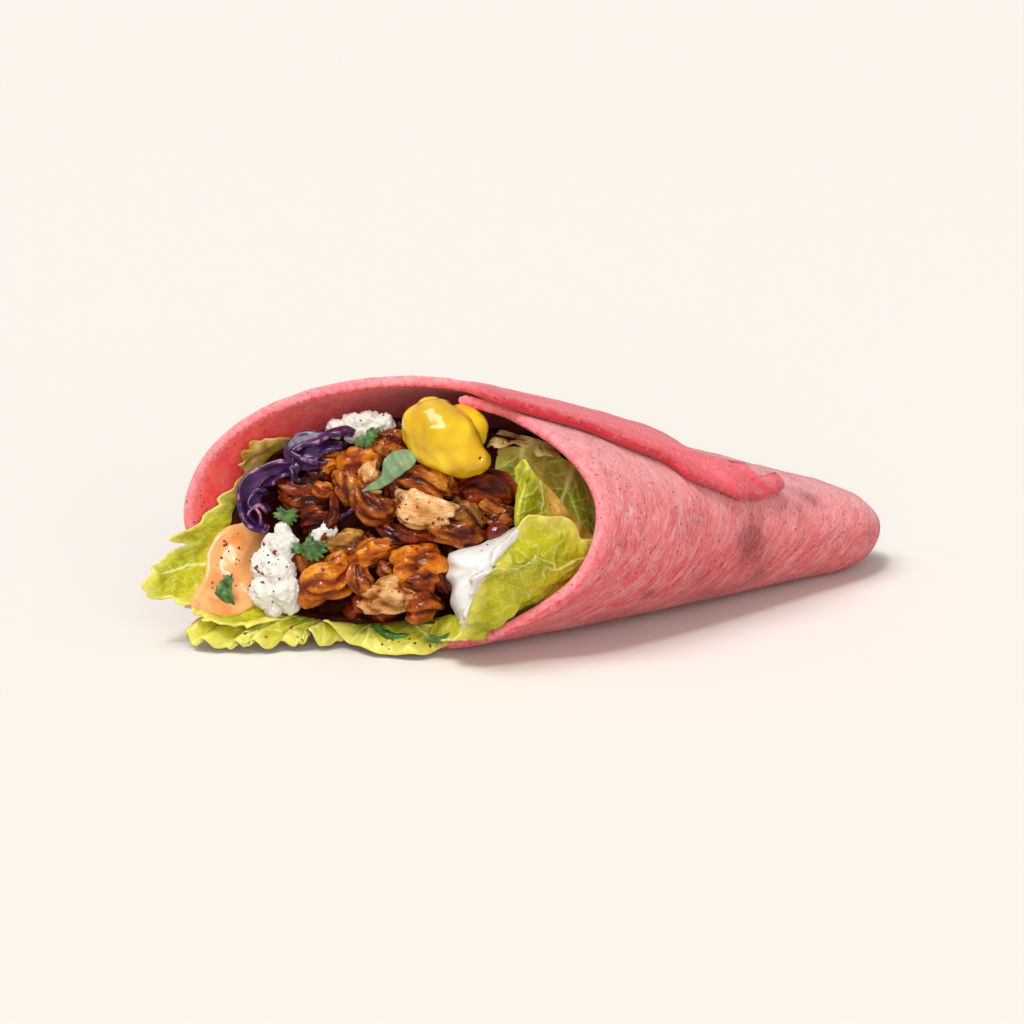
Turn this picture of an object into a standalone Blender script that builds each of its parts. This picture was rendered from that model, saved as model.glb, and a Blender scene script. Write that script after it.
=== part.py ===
"""A rolled flatbread wrap lying on its side, its open mouth full of lettuce, meat, cheese and cabbage.

Sizes are millimetres until a mesh is made, which turns them into metres. X runs from the mouth
to the closed tip, Y away from the shown side and Z up from the surface the wrap lies on.
"""

import math
import random

import bmesh
import bpy
import numpy as np
from mathutils import Vector

# Millimetres to metres, and the move that puts the middle of the box over the origin.
MM = 0.001
SHIFT = np.array([-19.67, -3.97, 0.0])

# The rolled flatbread, measured at shares of its length from the mouth (0) to the tip (1).
BREAD_THICKNESS = 3.4
MOUTH_X = -92.0
TIP_X = 147.6
STATIONS = [-0.3, 0.0, 0.2, 0.4, 0.6, 0.8, 0.93, 1.0]
HALF_WIDTH = [55.5, 53.4, 52.9, 48.6, 39.8, 29.6, 21.6, 15.0]
HALF_HEIGHT = [43.0, 42.2, 40.5, 35.1, 26.9, 19.2, 14.1, 10.5]
CENTRE_Z = [42.3, 41.5, 39.9, 34.6, 26.4, 18.7, 13.6, 11.8]
CENTRE_Y = [4.0, 4.0, 3.0, 0.0, -1.0, -1.0, -2.0, -3.0]
ROUNDNESS = 2.18

# The sheet starts near the top, goes round by the shown side, and ends in a flap that overlaps it.
# At each angle it runs from its rim to its last share of the length.
SHEET_START = 2.0
SHEET_END = 428.0
FLAP_LIFT = 4.3
RIM_ANGLE = [2, 16, 30, 40, 50, 60, 75, 86, 95, 104, 112, 128, 150, 180, 220, 245, 262, 278, 294,
             310, 330, 345, 360, 375, 388, 397, 403, 411, 415, 422, 426, 428]
RIM_SHARE = [0.300, 0.335, 0.345, 0.355, 0.365, 0.375, 0.381, 0.371, 0.357, 0.337, 0.312, 0.27,
             0.24, 0.19, 0.10, 0.045, 0.026, 0.042, 0.083, 0.14, 0.215, 0.27, 0.305, 0.31, 0.325,
             0.382, 0.433, 0.484, 0.528, 0.569, 0.611, 0.645]
LAST_ANGLE = [2, 336, 344, 351, 358, 372, 388, 404, 416, 424, 428]
LAST_SHARE = [0.86, 0.86, 0.85, 0.81, 0.75, 0.735, 0.735, 0.735, 0.722, 0.695, 0.668]
SHEET_COLUMNS = 52
SHEET_ROWS = 11

# The mouth's own frame: its middle, the way across it, the way up it and the way out of it.
MOUTH_MIDDLE = np.array([-42.0, 2.0, 38.0])
ACROSS = np.array([0.6359, -0.7718, 0.0])
UPWARD = np.array([0.2711, 0.2234, 0.9363])
OUTWARD = np.array([-0.7226, -0.5953, 0.3513])

# Lettuce, and the room kept between one ingredient and the next.
LEAF_THICKNESS = 0.9
LEAF_DEPTH = -5.3
CLEARANCE = 0.4

# The meat heap: its core, then every piece as two ends in the mouth's frame and a width.
CORE_DEPTH = -10.0
CORE_FRONT = -8.0
CORE_FRONT_LOW = 1.0
CORE_RECESS = 28.0
CORE_MIDDLE = 0.5
CORE_END = 0.76
MEAT_PIECES = [
    ((-24.8, -24.8, 4), (-13.4, -13.6, 2), 9.5),
    ((-13.8, -15.4, 2), (1.4, -6.3, 4), 5.4),
    ((0.3, 4.8, 4), (17.3, 2.8, 4), 8.2),
    ((-11.4, 7.4, 3), (0.6, 2.7, 2), 7.6),
    ((1.4, 13.2, 1), (13.9, 12.0, 2), 7.6),
    ((9.6, 12.3, -2), (21.5, 14.5, -4), 6.3),
    ((20.9, 12.1, 0), (33.2, 13.6, -5), 7.6),
    ((24.5, 8.7, 0), (33.7, 6.7, -2), 4.0),
    ((16.4, 6.3, 1), (28.0, 1.1, -1), 6.3),
    ((11.0, -3.0, 3), (25.4, -0.9, 2), 7.0),
    ((-3.7, -1.8, 1), (10.4, -3.5, 3), 5.4),
    ((3.5, -15.7, 4), (15.2, -9.3, 1), 9.5),
    ((6.2, -18.8, 4.5), (15.0, -15.9, 3), 5.6),
    ((-8.7, -14.4, 4), (-3.6, -21.7, 4), 5.2),
    ((-5.2, -24.2, 4), (8.6, -21.8, 4.5), 8.3),
    ((8.3, -26.3, 3), (15.0, -21.8, 1), 7.6),
    ((-26.0, 15.4, -4), (-22.5, 20.0, -6), 5.6),
    ((-19.2, 17.0, -3), (-9.8, 19.4, -3), 8.6),
    ((-11.3, 22.0, -4), (-0.2, 26.5, -6), 7.6),
    ((-20.3, 12.7, -1), (-14.2, 6.4, -2), 6.3),
    ((-9.3, 17.7, -1), (-6.3, 11.0, 0), 5.4),
    ((-39.5, 8.7, -5), (-27.3, 10.6, -5), 5.7),
    ((-37.5, 4.8, -5), (-23.5, 5.2, -5), 5.6),
    ((-20.1, -7.6, -2), (-10.3, -6.3, -2), 6.0),
    ((-25.4, -10.7, 0), (-23.6, -16.3, 0), 5.6),
    ((-12.3, -25.6, -2), (0.4, -27.0, -2), 6.3),
    ((-14.5, -5.8, -2), (-4.1, -10.2, -1), 7.0),
]
MEAT_SIDES = 6
MEAT_RINGS = 4

RANDOM = random.Random(11)


def smooth(share):
    """Eases a share of 0 to 1 in and out."""
    share = np.clip(share, 0.0, 1.0)
    return share * share * (3.0 - 2.0 * share)


def along(value, places, heights):
    """A smooth curve through the heights that stand at the places."""
    places, heights = np.asarray(places, float), np.asarray(heights, float)
    slopes = np.gradient(heights, places)
    value = np.clip(np.asarray(value, float), places[0], places[-1])
    i = np.clip(np.searchsorted(places, value) - 1, 0, len(places) - 2)
    step = places[i + 1] - places[i]
    s = (value - places[i]) / step
    return (
        (2 * s**3 - 3 * s**2 + 1) * heights[i]
        + (s**3 - 2 * s**2 + s) * step * slopes[i]
        + (3 * s**2 - 2 * s**3) * heights[i + 1]
        + (s**3 - s**2) * step * slopes[i + 1]
    )


def flap_lift(angle, share):
    """How far the overlapping layer stands off the layer under it."""
    start = 300.0 + 34.0 * smooth((share - 0.4) / 0.25)
    rise = smooth((angle - start) / (361.0 - start))
    return FLAP_LIFT * rise * (1.0 - smooth((share - 0.738) / 0.07))


def wrap_point(angle, share, depth=0.0, lifted=True):
    """Points of the rolled flatbread's outer face, or set in from it where depth is below 0.

    The angle is 0 on top, 90 on the shown side, 180 below and 270 on the far side.
    """
    angle, share, depth = np.broadcast_arrays(
        np.asarray(angle, float), np.asarray(share, float), np.asarray(depth, float)
    )
    side, up = np.sin(np.radians(angle)), np.cos(np.radians(angle))
    wide, high = along(share, STATIONS, HALF_WIDTH), along(share, STATIONS, HALF_HEIGHT)
    radius = (np.abs(side / wide) ** ROUNDNESS + np.abs(up / high) ** ROUNDNESS) ** (-1 / ROUNDNESS)
    closing = np.clip((share - 0.88) / 0.12, 0.0, 1.0)
    radius = radius * np.sqrt(np.maximum(1.0 - closing**2.4, 0.0)) + depth
    if lifted:
        radius = radius + flap_lift(angle, share)
    return np.stack(
        [
            MOUTH_X + (TIP_X - MOUTH_X) * share,
            along(share, STATIONS, CENTRE_Y) - side * radius,
            along(share, STATIONS, CENTRE_Z) + up * radius,
        ],
        -1,
    )


def rim_share(angle):
    """Where the sheet's rim lies at this angle, as a share of the length."""
    return along(angle, RIM_ANGLE, RIM_SHARE)


def mouth_point(across, up, out=0.0):
    """A point given in the mouth's own frame."""
    return MOUTH_MIDDLE + across * ACROSS + up * UPWARD + out * OUTWARD


def material(name, colour, roughness):
    made = bpy.data.materials.new(name)
    made.use_nodes = True
    shader = made.node_tree.nodes["Principled BSDF"]
    shader.inputs["Base Color"].default_value = (*colour, 1.0)
    shader.inputs["Roughness"].default_value = roughness
    shader.inputs["Metallic"].default_value = 0.0
    made.diffuse_color = (*colour, 1.0)
    return made


def add_object(name, points, faces, collection):
    """A mesh object made from millimetre points, its faces turned to look out."""
    mesh = bpy.data.meshes.new(name)
    mesh.from_pydata([tuple((np.asarray(p) + SHIFT) * MM) for p in points], [], faces)
    made = bpy.data.objects.new(name, mesh)
    collection.objects.link(made)
    return made


def grid_faces(columns, rows, closed=False):
    """Quads over a grid of points listed column by column, each with rows + 1 points."""
    faces = []
    for i in range(columns):
        following = (i + 1) % columns if closed else i + 1
        for j in range(rows):
            a, b = i * (rows + 1) + j, following * (rows + 1) + j
            faces.append((a, b, b + 1, a + 1))
    return faces


def bake(made):
    """Applies every modifier of an object."""
    graph = bpy.context.evaluated_depsgraph_get()
    graph.update()
    mesh = bpy.data.meshes.new_from_object(made.evaluated_get(graph))
    made.modifiers.clear()
    old = made.data
    made.data = mesh
    bpy.data.meshes.remove(old)


def face_out(made):
    shape = bmesh.new()
    shape.from_mesh(made.data)
    bmesh.ops.recalc_face_normals(shape, faces=shape.faces)
    if shape.calc_volume(signed=True) < 0.0:
        bmesh.ops.reverse_faces(shape, faces=shape.faces)
    shape.to_mesh(made.data)
    shape.free()


def split_faces(made):
    """Cuts every face into triangles, so that both faces of a thin solid crease alike."""
    shape = bmesh.new()
    shape.from_mesh(made.data)
    bmesh.ops.triangulate(shape, faces=shape.faces, quad_method="FIXED", ngon_method="BEAUTY")
    shape.to_mesh(made.data)
    shape.free()


def thicken(made, thickness, offset=0.0):
    solid = made.modifiers.new("Solidify", "SOLIDIFY")
    solid.thickness = thickness * MM
    solid.offset = offset
    bake(made)


def join(base, helpers, operation="UNION"):
    """One Boolean of the base with the helper collection, applied, and the helpers removed."""
    cut = base.modifiers.new("Boolean", "BOOLEAN")
    cut.operation = operation
    cut.operand_type = "COLLECTION"
    cut.collection = helpers
    cut.solver = "EXACT"
    cut.use_self = False
    bake(base)
    for helper in list(helpers.objects):
        bpy.data.objects.remove(helper)


def keep_largest(made):
    """Keeps only the largest closed body."""
    shape = bmesh.new()
    shape.from_mesh(made.data)
    bodies, seen = [], set()
    for start in shape.verts:
        if start in seen:
            continue
        body, front = [], [start]
        seen.add(start)
        while front:
            point = front.pop()
            body.append(point)
            for edge in point.link_edges:
                other = edge.other_vert(point)
                if other not in seen:
                    seen.add(other)
                    front.append(other)
        bodies.append(body)
    bodies.sort(key=len)
    for body in bodies[:-1]:
        bmesh.ops.delete(shape, geom=body, context="VERTS")
    shape.to_mesh(made.data)
    shape.free()


def swollen(made, by, collection):
    """A copy of an object grown by a distance along its normals."""
    copy = made.copy()
    copy.data = made.data.copy()
    collection.objects.link(copy)
    shape = bmesh.new()
    shape.from_mesh(copy.data)
    bmesh.ops.recalc_face_normals(shape, faces=shape.faces)
    if shape.calc_volume(signed=True) < 0.0:
        bmesh.ops.reverse_faces(shape, faces=shape.faces)
    shape.normal_update()
    moves = [(point, point.normal * by * MM) for point in shape.verts]
    for point, move in moves:
        point.co += move
    shape.to_mesh(copy.data)
    shape.free()
    return copy


def is_closed(made):
    """Whether the mesh holds faces, and every edge of it lies between two of them."""
    shape = bmesh.new()
    shape.from_mesh(made.data)
    closed = len(shape.faces) > 3 and all(edge.is_manifold for edge in shape.edges)
    shape.free()
    return closed


def box_of(made):
    points = np.array([point.co for point in made.data.vertices])
    return points.min(0), points.max(0)


def combine(made, other, operation):
    """One Boolean of two bodies by whichever solver leaves a closed one. The other is removed."""
    kept = made.data.copy()
    for solver in ("MANIFOLD", "EXACT"):
        cut = made.modifiers.new("Boolean", "BOOLEAN")
        cut.operation = operation
        cut.object = other
        cut.solver = solver
        bake(made)
        if is_closed(made):
            break
        made.data = kept.copy()
    bpy.data.objects.remove(other)


def keep_clear(made, neighbours, helpers, gap=CLEARANCE):
    """Cuts the neighbours, grown by the gap, out of an object wherever they come near it."""
    low, high = box_of(made)
    near = []
    for other in neighbours:
        other_low, other_high = box_of(other)
        if np.all(other_low < high + gap * MM) and np.all(other_high > low - gap * MM):
            near.append(other)
    for other in near:
        combine(made, swollen(other, gap, helpers), "DIFFERENCE")
    keep_largest(made)


def make_flatbread(collection, helpers):
    """The rolled sheet, joined to the solid tip it closes into."""
    columns, rows = SHEET_COLUMNS, SHEET_ROWS
    points = []
    for u in np.linspace(0.0, 1.0, columns + 1):
        angle = SHEET_START + (SHEET_END - SHEET_START) * u
        rim, last = float(rim_share(angle)), float(along(angle, LAST_ANGLE, LAST_SHARE))
        for v in np.linspace(0.0, 1.0, rows + 1):
            point = wrap_point(angle, rim + (last - rim) * v)
            point[2] = max(point[2], 0.0)
            points.append(point)
    bread = add_object("flatbread", points, grid_faces(columns, rows), collection)
    split_faces(bread)
    thicken(bread, BREAD_THICKNESS, -1.0)
    face_out(bread)

    sides = 26
    rings = [0.71, 0.74, 0.77, 0.8, 0.85, 0.89, 0.93, 0.96, 0.98, 0.992]
    points = []
    for i in range(sides):
        for share in rings:
            depth = -1.7 + 2.0 * float(smooth((share - 0.76) / 0.05))
            point = wrap_point(360.0 * i / sides + 3.0, share, depth, lifted=False)
            point[2] = max(point[2], 0.0)
            points.append(point)
    faces = grid_faces(sides, len(rings) - 1, closed=True)
    near_end, far_end = len(points), len(points) + 1
    points.append(np.array([MOUTH_X + (TIP_X - MOUTH_X) * rings[0], -1.0, 20.0]))
    points.append(wrap_point(0.0, 1.0, 0.0, lifted=False))
    count = len(rings)
    for i in range(sides):
        following = (i + 1) % sides
        faces.append((i * count, near_end, following * count))
        faces.append((i * count + count - 1, following * count + count - 1, far_end))
    tip = add_object("tip", points, faces, helpers)
    face_out(tip)
    combine(bread, tip, "UNION")
    keep_largest(bread)
    return bread


def make_leaf(name, columns, rows, place, collection):
    """A wavy leaf: place(u, v) gives a point for shares along and across it."""
    points = [
        place(u, v)
        for u in np.linspace(0.0, 1.0, columns + 1)
        for v in np.linspace(0.0, 1.0, rows + 1)
    ]
    for point in points:
        point[2] = max(point[2], LEAF_THICKNESS / 2 + 0.15)
    leaf = add_object(name, points, grid_faces(columns, rows), collection)
    split_faces(leaf)
    thicken(leaf, LEAF_THICKNESS, 0.0)
    face_out(leaf)
    for point in leaf.data.vertices:
        point.co.z = max(point.co.z, 0.0)
    return leaf


LEFT_EDGE_ANGLE = [205, 215, 225, 231, 236, 242, 247, 251, 256, 259, 263, 269, 276, 284, 290, 295]
LEFT_EDGE_SHARE = [0.03, -0.01, -0.02, -0.042, -0.062, -0.064, -0.028, -0.012, -0.03, 0.0,
                   0.055, 0.082, 0.104, 0.113, 0.112, 0.13]


def left_leaf(u, v):
    """The leaf that lines the far wall and spills out past the rim."""
    angle = 205.0 + 90.0 * u
    edge = float(along(angle, LEFT_EDGE_ANGLE, LEFT_EDGE_SHARE))
    share = edge + 0.27 * v
    frill = (1.0 - v) ** 2
    wave = 0.5 + 0.5 * math.sin(u * 34.0 + 3.0 * v)
    depth = LEAF_DEPTH - 0.5 - 2.2 * frill * wave - 1.5 * v
    return wrap_point(angle, share, depth)


def spill(edge_points, inner_angles, inner_reach, frill, waves):
    """A leaf that comes out over the lower rim and lies on the surface in front of it."""
    places = np.linspace(0.0, 1.0, len(edge_points))
    edges = np.array(edge_points, float)

    def place(u, v):
        edge = np.array([float(along(u, places, edges[:, k])) for k in range(3)])
        angle = inner_angles[0] + (inner_angles[1] - inner_angles[0]) * u
        rim = float(rim_share(angle))
        over = wrap_point(angle, rim - 0.012, LEAF_DEPTH - 0.3)
        inner = wrap_point(angle, rim + inner_reach, LEAF_DEPTH - 1.2)
        if v < 0.5:
            s = v / 0.5
            point = edge * (1 - s) + over * s
            point[2] = edge[2] * (1 - s) ** 2 + over[2] * (1 - (1 - s) ** 2)
        else:
            point = over + (inner - over) * (v - 0.5) / 0.5
        rise = (1.0 - min(v / 0.45, 1.0)) ** 1.5
        point[2] += frill * rise * (0.5 + 0.5 * math.sin(u * waves + 2.0 * v))
        return point

    return place


floor_leaf = spill(
    [(-97.5, 36.5, 1.0), (-96.0, 27.5, 0.9), (-88.0, 21.5, 0.8), (-81.0, 16.5, 0.8),
     (-72.5, 13.0, 0.8), (-64.5, 9.0, 0.8), (-56.5, 8.5, 1.2)],
    (224.0, 187.0), 0.09, 4.2, 30.0,
)
front_leaf = spill(
    [(-65.0, 7.5, 8.5), (-58.0, 5.5, 2.0), (-56.8, -4.5, 0.8), (-52.0, -11.5, 0.7),
     (-44.0, -16.5, 0.7), (-32.0, -15.5, 0.9), (-23.0, -15.0, 1.1)],
    (189.0, 152.0), 0.09, 2.4, 17.0,
)

NEAR_EDGE_ANGLE = [84, 88, 93, 98, 107, 118, 130, 142, 150]
NEAR_EDGE_SHARE = [0.285, 0.245, 0.218, 0.198, 0.19, 0.195, 0.212, 0.238, 0.262]


def near_leaf(u, v):
    """The leaf that lines the shown side's wall and folds out past the rim."""
    angle = 84.0 + 64.0 * u
    edge = float(along(angle, NEAR_EDGE_ANGLE, NEAR_EDGE_SHARE))
    share = edge + 0.25 * v
    frill = (1.0 - v) ** 2
    wave = math.sin(u * 21.0 + 2.0 * v)
    depth = LEAF_DEPTH - 0.8 - 1.6 * frill * (0.5 + 0.5 * wave) - 1.0 * v
    return wrap_point(angle, share, depth)


def standing_leaf(u, v):
    """The leaf that stands in the right of the mouth, its fold to the front."""
    left = (34.8 + 3.0 * (1 - v), 2.0 + 18.0 * v)
    right = (60.5, -8.0 + 10.0 * v)
    top = 3.2 * math.sin(math.pi * min(u * 2.2, 1.0)) * v
    across = left[0] + (right[0] - left[0]) * u
    up = left[1] + (right[1] - left[1]) * u + top
    out = -4.0 + 3.5 * math.sin(math.pi * min(u * 2.6, 1.0)) - 14.0 * u**1.5
    out += 0.8 * math.sin(9.0 * v + 4.0 * u)
    return mouth_point(across, up, out)


def back_leaf(u, v):
    """The ribbed leaf deeper inside, behind the standing one."""
    across = 40.5 + 13.5 * u + 3.0 * v
    up = 23.5 - 15.0 * u - 9.0 * (1 - v)
    out = -14.0 - 5.0 * u + 1.2 * math.sin(7.0 * u + 5.0 * v) - 2.0 * v
    return mouth_point(across, up, out)


def roof_leaf(u, v):
    """The wilted leaf that hangs under the flap."""
    across = 24.5 + 19.5 * u + 1.5 * v
    up = 27.2 + 3.4 * v * (1 - 0.5 * u) - 2.5 * u**2
    out = -11.0 - 6.0 * v + 1.0 * math.sin(12.0 * u + 3.0 * v)
    return mouth_point(across, up, out)


def dark_leaf(u, v):
    """The shaded leaf behind the yellow pepper."""
    across = 29.0 + 9.5 * u
    up = 16.5 + 8.0 * v
    out = -11.5 - 1.5 * u + 0.8 * math.sin(8.0 * u + 4.0 * v)
    return mouth_point(across, up, out)


def tube(name, spine, radii, sides, collection, flatten=1.0, rough=0.0, power=2.0):
    """A closed tube round a spine of points, with rounded ends and one radius at each point."""
    spine = [np.array(p, float) for p in spine]
    count = len(spine)
    points = []
    for k, centre in enumerate(spine):
        ahead = spine[min(k + 1, count - 1)] - spine[max(k - 1, 0)]
        ahead /= np.linalg.norm(ahead)
        first = np.cross(ahead, OUTWARD)
        first /= np.linalg.norm(first)
        second = np.cross(first, ahead)
        for i in range(sides):
            turn = 2 * math.pi * i / sides
            c, s = math.cos(turn), math.sin(turn)
            reach = (abs(c) ** power + abs(s) ** power) ** (-1 / power)
            reach *= radii[k] * (1.0 + RANDOM.uniform(-rough, rough))
            points.append(centre + first * c * reach + second * s * reach * flatten)
    faces = []
    for k in range(count - 1):
        for i in range(sides):
            j = (i + 1) % sides
            faces.append((k * sides + i, k * sides + j, (k + 1) * sides + j, (k + 1) * sides + i))
    for k, step in ((0, -1), (count - 1, 1)):
        ahead = spine[k] - spine[k - step]
        ahead /= np.linalg.norm(ahead)
        middle = len(points)
        points.append(spine[k] + ahead * radii[k] * 0.45)
        for i in range(sides):
            faces.append((k * sides + i, k * sides + (i + 1) % sides, middle))
    made = add_object(name, points, faces, collection)
    face_out(made)
    return made


def bent_spine(start, end, count, bend, lift):
    """Points from start to end in the mouth's frame, bowed sideways and outward."""
    start, end = np.array(start, float), np.array(end, float)
    ahead = end - start
    aside = np.array([-ahead[1], ahead[0], 0.0])
    aside /= np.linalg.norm(aside)
    spine = []
    for s in np.linspace(0.0, 1.0, count):
        bow = 4.0 * s * (1.0 - s)
        spine.append(mouth_point(*(start + ahead * s + aside * bend * bow + np.array([0, 0, lift * bow]))))
    return spine


def make_meat(collection, helpers):
    """The meat heap: a core that fills the wrap, with every shown piece fused on."""
    sides, rows = 22, 7
    points = []
    for i in range(sides):
        angle = 360.0 * i / sides
        recess = CORE_RECESS * float(smooth(1.4 * math.sin(math.radians(angle)) - 0.2))
        low_share = (0.5 - 0.5 * math.cos(math.radians(angle))) ** 2
        ahead = CORE_FRONT + (CORE_FRONT_LOW - CORE_FRONT) * low_share
        low, high = -0.1, 0.7
        for _ in range(30):
            middle = (low + high) / 2
            place = wrap_point(angle, middle, CORE_DEPTH, lifted=False)
            if (place - MOUTH_MIDDLE) @ OUTWARD > ahead - recess:
                low = middle
            else:
                high = middle
        front = wrap_point(angle, low, CORE_DEPTH, lifted=False) - MOUTH_MIDDLE
        across, up = front @ ACROSS, front @ UPWARD
        column = []
        for reach in (0.3, 0.62, 0.86):
            out = ahead * reach**2 + CORE_MIDDLE * (1 - reach**2) - recess * reach
            column.append(mouth_point(across * reach, up * reach, out))
        for k in range(rows - 2):
            share = low + (CORE_END - low) * k / (rows - 3)
            column.append(wrap_point(angle, share, CORE_DEPTH + 3.0 * k / (rows - 3), lifted=False))
        points.extend(column)
    per = 3 + rows - 2
    faces = grid_faces(sides, per - 1, closed=True)
    first, last = len(points), len(points) + 1
    points.append(mouth_point(0.0, 0.0, CORE_MIDDLE))
    points.append(wrap_point(0.0, CORE_END + 0.01, -20.0, lifted=False))
    for i in range(sides):
        following = (i + 1) % sides
        faces.append((i * per, first, following * per))
        faces.append((i * per + per - 1, following * per + per - 1, last))
    heap = add_object("meat_heap", points, faces, collection)
    face_out(heap)
    for n, (start, end, width) in enumerate(MEAT_PIECES):
        spine = bent_spine(start, end, MEAT_RINGS, RANDOM.uniform(-1.2, 1.2), RANDOM.uniform(0.2, 1.4))
        radii = [width * share * RANDOM.uniform(0.9, 1.08) for share in (0.34, 0.5, 0.52, 0.36)]
        tube(f"piece_{n}", spine, radii, MEAT_SIDES, helpers, flatten=0.8, rough=0.1, power=2.6)
    join(heap, helpers)
    keep_largest(heap)
    return heap


def make_pepper(collection, helpers):
    """The pickled yellow pepper: a bulbous body, its narrow end, and the shaded lobe behind."""
    spine = [(3.5, 33.6, -2), (7.0, 31.6, 0.5), (10.5, 29.0, 2.5), (14.5, 26.0, 4.0),
             (18.5, 23.4, 5.0), (22.5, 21.3, 5.6), (26.0, 20.6, 6.4), (29.0, 20.9, 7.2)]
    radii = [4.2, 7.4, 9.4, 10.0, 9.0, 6.4, 3.8, 2.7]
    body = tube("pepperoncini", [mouth_point(*p) for p in spine], radii, 12, collection, 0.9)
    lobe = [(11.0, 30.5, 0.0), (15.5, 31.0, -3.0), (19.5, 30.5, -6.5), (23.0, 29.2, -10.0)]
    tube("lobe", [mouth_point(*p) for p in lobe], [6.0, 6.8, 6.0, 3.6], 10, helpers, 0.9)
    join(body, helpers)
    keep_largest(body)
    return body


def make_clump(name, places, collection, helpers):
    """A crumbly clump: every place is a point in the mouth's frame and a radius."""
    clump = None
    for n, (across, up, out, radius) in enumerate(places):
        shape = bmesh.new()
        bmesh.ops.create_icosphere(shape, subdivisions=1 if radius < 3.6 else 2, radius=radius * MM)
        centre = Vector((mouth_point(across, up, out) + SHIFT) * MM)
        for point in shape.verts:
            point.co = point.co * RANDOM.uniform(0.9, 1.12) + centre
        mesh = bpy.data.meshes.new(name)
        shape.to_mesh(mesh)
        shape.free()
        made = bpy.data.objects.new(name if n == 0 else f"{name}_{n}", mesh)
        (collection if n == 0 else helpers).objects.link(made)
        clump = clump or made
    if len(places) > 1:
        join(clump, helpers)
        keep_largest(clump)
    return clump


def make_slab(name, outline, front, back, bulge, collection):
    """A pool of sauce: its outline in the mouth's frame, its face, its back and its swell."""
    outline = [np.array(p, float) for p in outline]
    middle = sum(outline) / len(outline)
    count = len(outline)
    layers = [(1.0, front - 1.0, 0.0), (0.93, front, 0.25), (0.6, front, 0.8)]
    points = []
    for reach, out, swell in layers:
        points += [mouth_point(*(middle + (p - middle) * reach), out + bulge * swell) for p in outline]
    points += [mouth_point(*(middle + (p - middle) * 0.97), back) for p in outline]
    faces = []
    for k, j in ((0, 1), (1, 2)):
        for i in range(count):
            n = (i + 1) % count
            faces.append((k * count + i, k * count + n, j * count + n, j * count + i))
    for i in range(count):
        n = (i + 1) % count
        faces.append((i, n, 3 * count + n, 3 * count + i))
    top, under = len(points), len(points) + 1
    points.append(mouth_point(*middle, front + bulge))
    points.append(mouth_point(*middle, back))
    for i in range(count):
        n = (i + 1) % count
        faces.append((2 * count + i, 2 * count + n, top))
        faces.append((3 * count + i, 3 * count + n, under))
    made = add_object(name, points, faces, collection)
    split_faces(made)
    face_out(made)
    return made


def make_ribbon(name, spine, width, thickness, collection):
    """A shred of cabbage: a flat strip that stands on edge along a curved spine."""
    fine = []
    places = np.arange(len(spine))
    spine = np.array(spine, float)
    for s in np.linspace(0, len(spine) - 1, 2 * len(spine) - 1):
        fine.append(mouth_point(*[float(along(s, places, spine[:, k])) for k in range(3)]))
    points = []
    for k, centre in enumerate(fine):
        end = min(k, len(fine) - 1 - k) / 2.0
        half = width / 2 * (0.55 + 0.45 * min(end, 1.0))
        points += [centre - OUTWARD * half, centre, centre + OUTWARD * half]
    made = add_object(name, points, grid_faces(len(fine) - 1, 2), collection)
    split_faces(made)
    thicken(made, thickness, 0.0)
    face_out(made)
    return made


def make_flat_leaf(name, outline, thickness, curl, collection):
    """A herb leaf: its outline in the mouth's frame, domed a little and made solid."""
    outline = [np.array(p, float) for p in outline]
    middle = sum(outline) / len(outline)
    middle[2] += curl
    inner = [middle + (p - middle) * 0.5 + np.array([0, 0, curl * 0.15]) for p in outline]
    points = [mouth_point(*p) for p in outline + inner + [middle]]
    count = len(outline)
    faces = []
    for i in range(count):
        n = (i + 1) % count
        faces.append((i, n, count + n, count + i))
        faces.append((count + i, count + n, 2 * count))
    made = add_object(name, points, faces, collection)
    split_faces(made)
    thicken(made, thickness, 0.0)
    face_out(made)
    return made


HERBS = {
    "herb_leaf": [(-2.7, 10.0, 7), (-1.0, 13.0, 7.4), (0.8, 16.0, 7.6), (1.5, 20.6, 7.2),
                  (6.5, 21.6, 6.8), (6.8, 17.8, 7), (4.4, 13.3, 7.2), (0.5, 10.4, 7),
                  (-6.2, 8.4, 6.8), (-9.6, 8.2, 6.6), (-6.5, 9.8, 6.8)],
    "herb_lower_left": [(-56.6, -27.8, 2), (-54.0, -25.6, 2.4), (-52.2, -21.6, 2.6), (-48.8, -19.2, 2.6),
                        (-47.6, -25.0, 2.8), (-46.9, -30.4, 2.4), (-51.1, -32.8, 2), (-54.8, -31.0, 1.8)],
    "herb_middle": [(-31.2, -11.8, 6), (-30.0, -8.6, 6), (-27.1, -9.0, 6.4), (-24.7, -5.1, 6),
                    (-22.0, -7.6, 6.2), (-18.6, -8.0, 5.6), (-19.4, -12.4, 5.8), (-23.5, -14.5, 6),
                    (-27.0, -12.2, 6.4)],
    "herb_on_cheese": [(-38.0, -0.8, 5), (-36.0, 2.4, 5.2), (-33.0, 1.4, 5.6), (-30.0, 2.2, 5),
                       (-29.4, -1.2, 5), (-31.2, -3.4, 5), (-34.6, -2.4, 5.4)],
    "herb_top": [(-15.6, 22.6, 2), (-14.2, 25.6, 1.4), (-12.0, 25.4, 1.6), (-11.4, 28.4, 0.6),
                 (-7.4, 29.0, 0.2), (-7.8, 26.2, 1.2), (-9.6, 22.6, 2.0)],
    "herb_front": [(13.0, -35.0, 1), (15.4, -33.0, 1.2), (18.4, -33.4, 1.4), (21.2, -32.0, 1),
                   (20.6, -34.2, 1), (17.4, -35.6, 0.8)],
}


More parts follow.
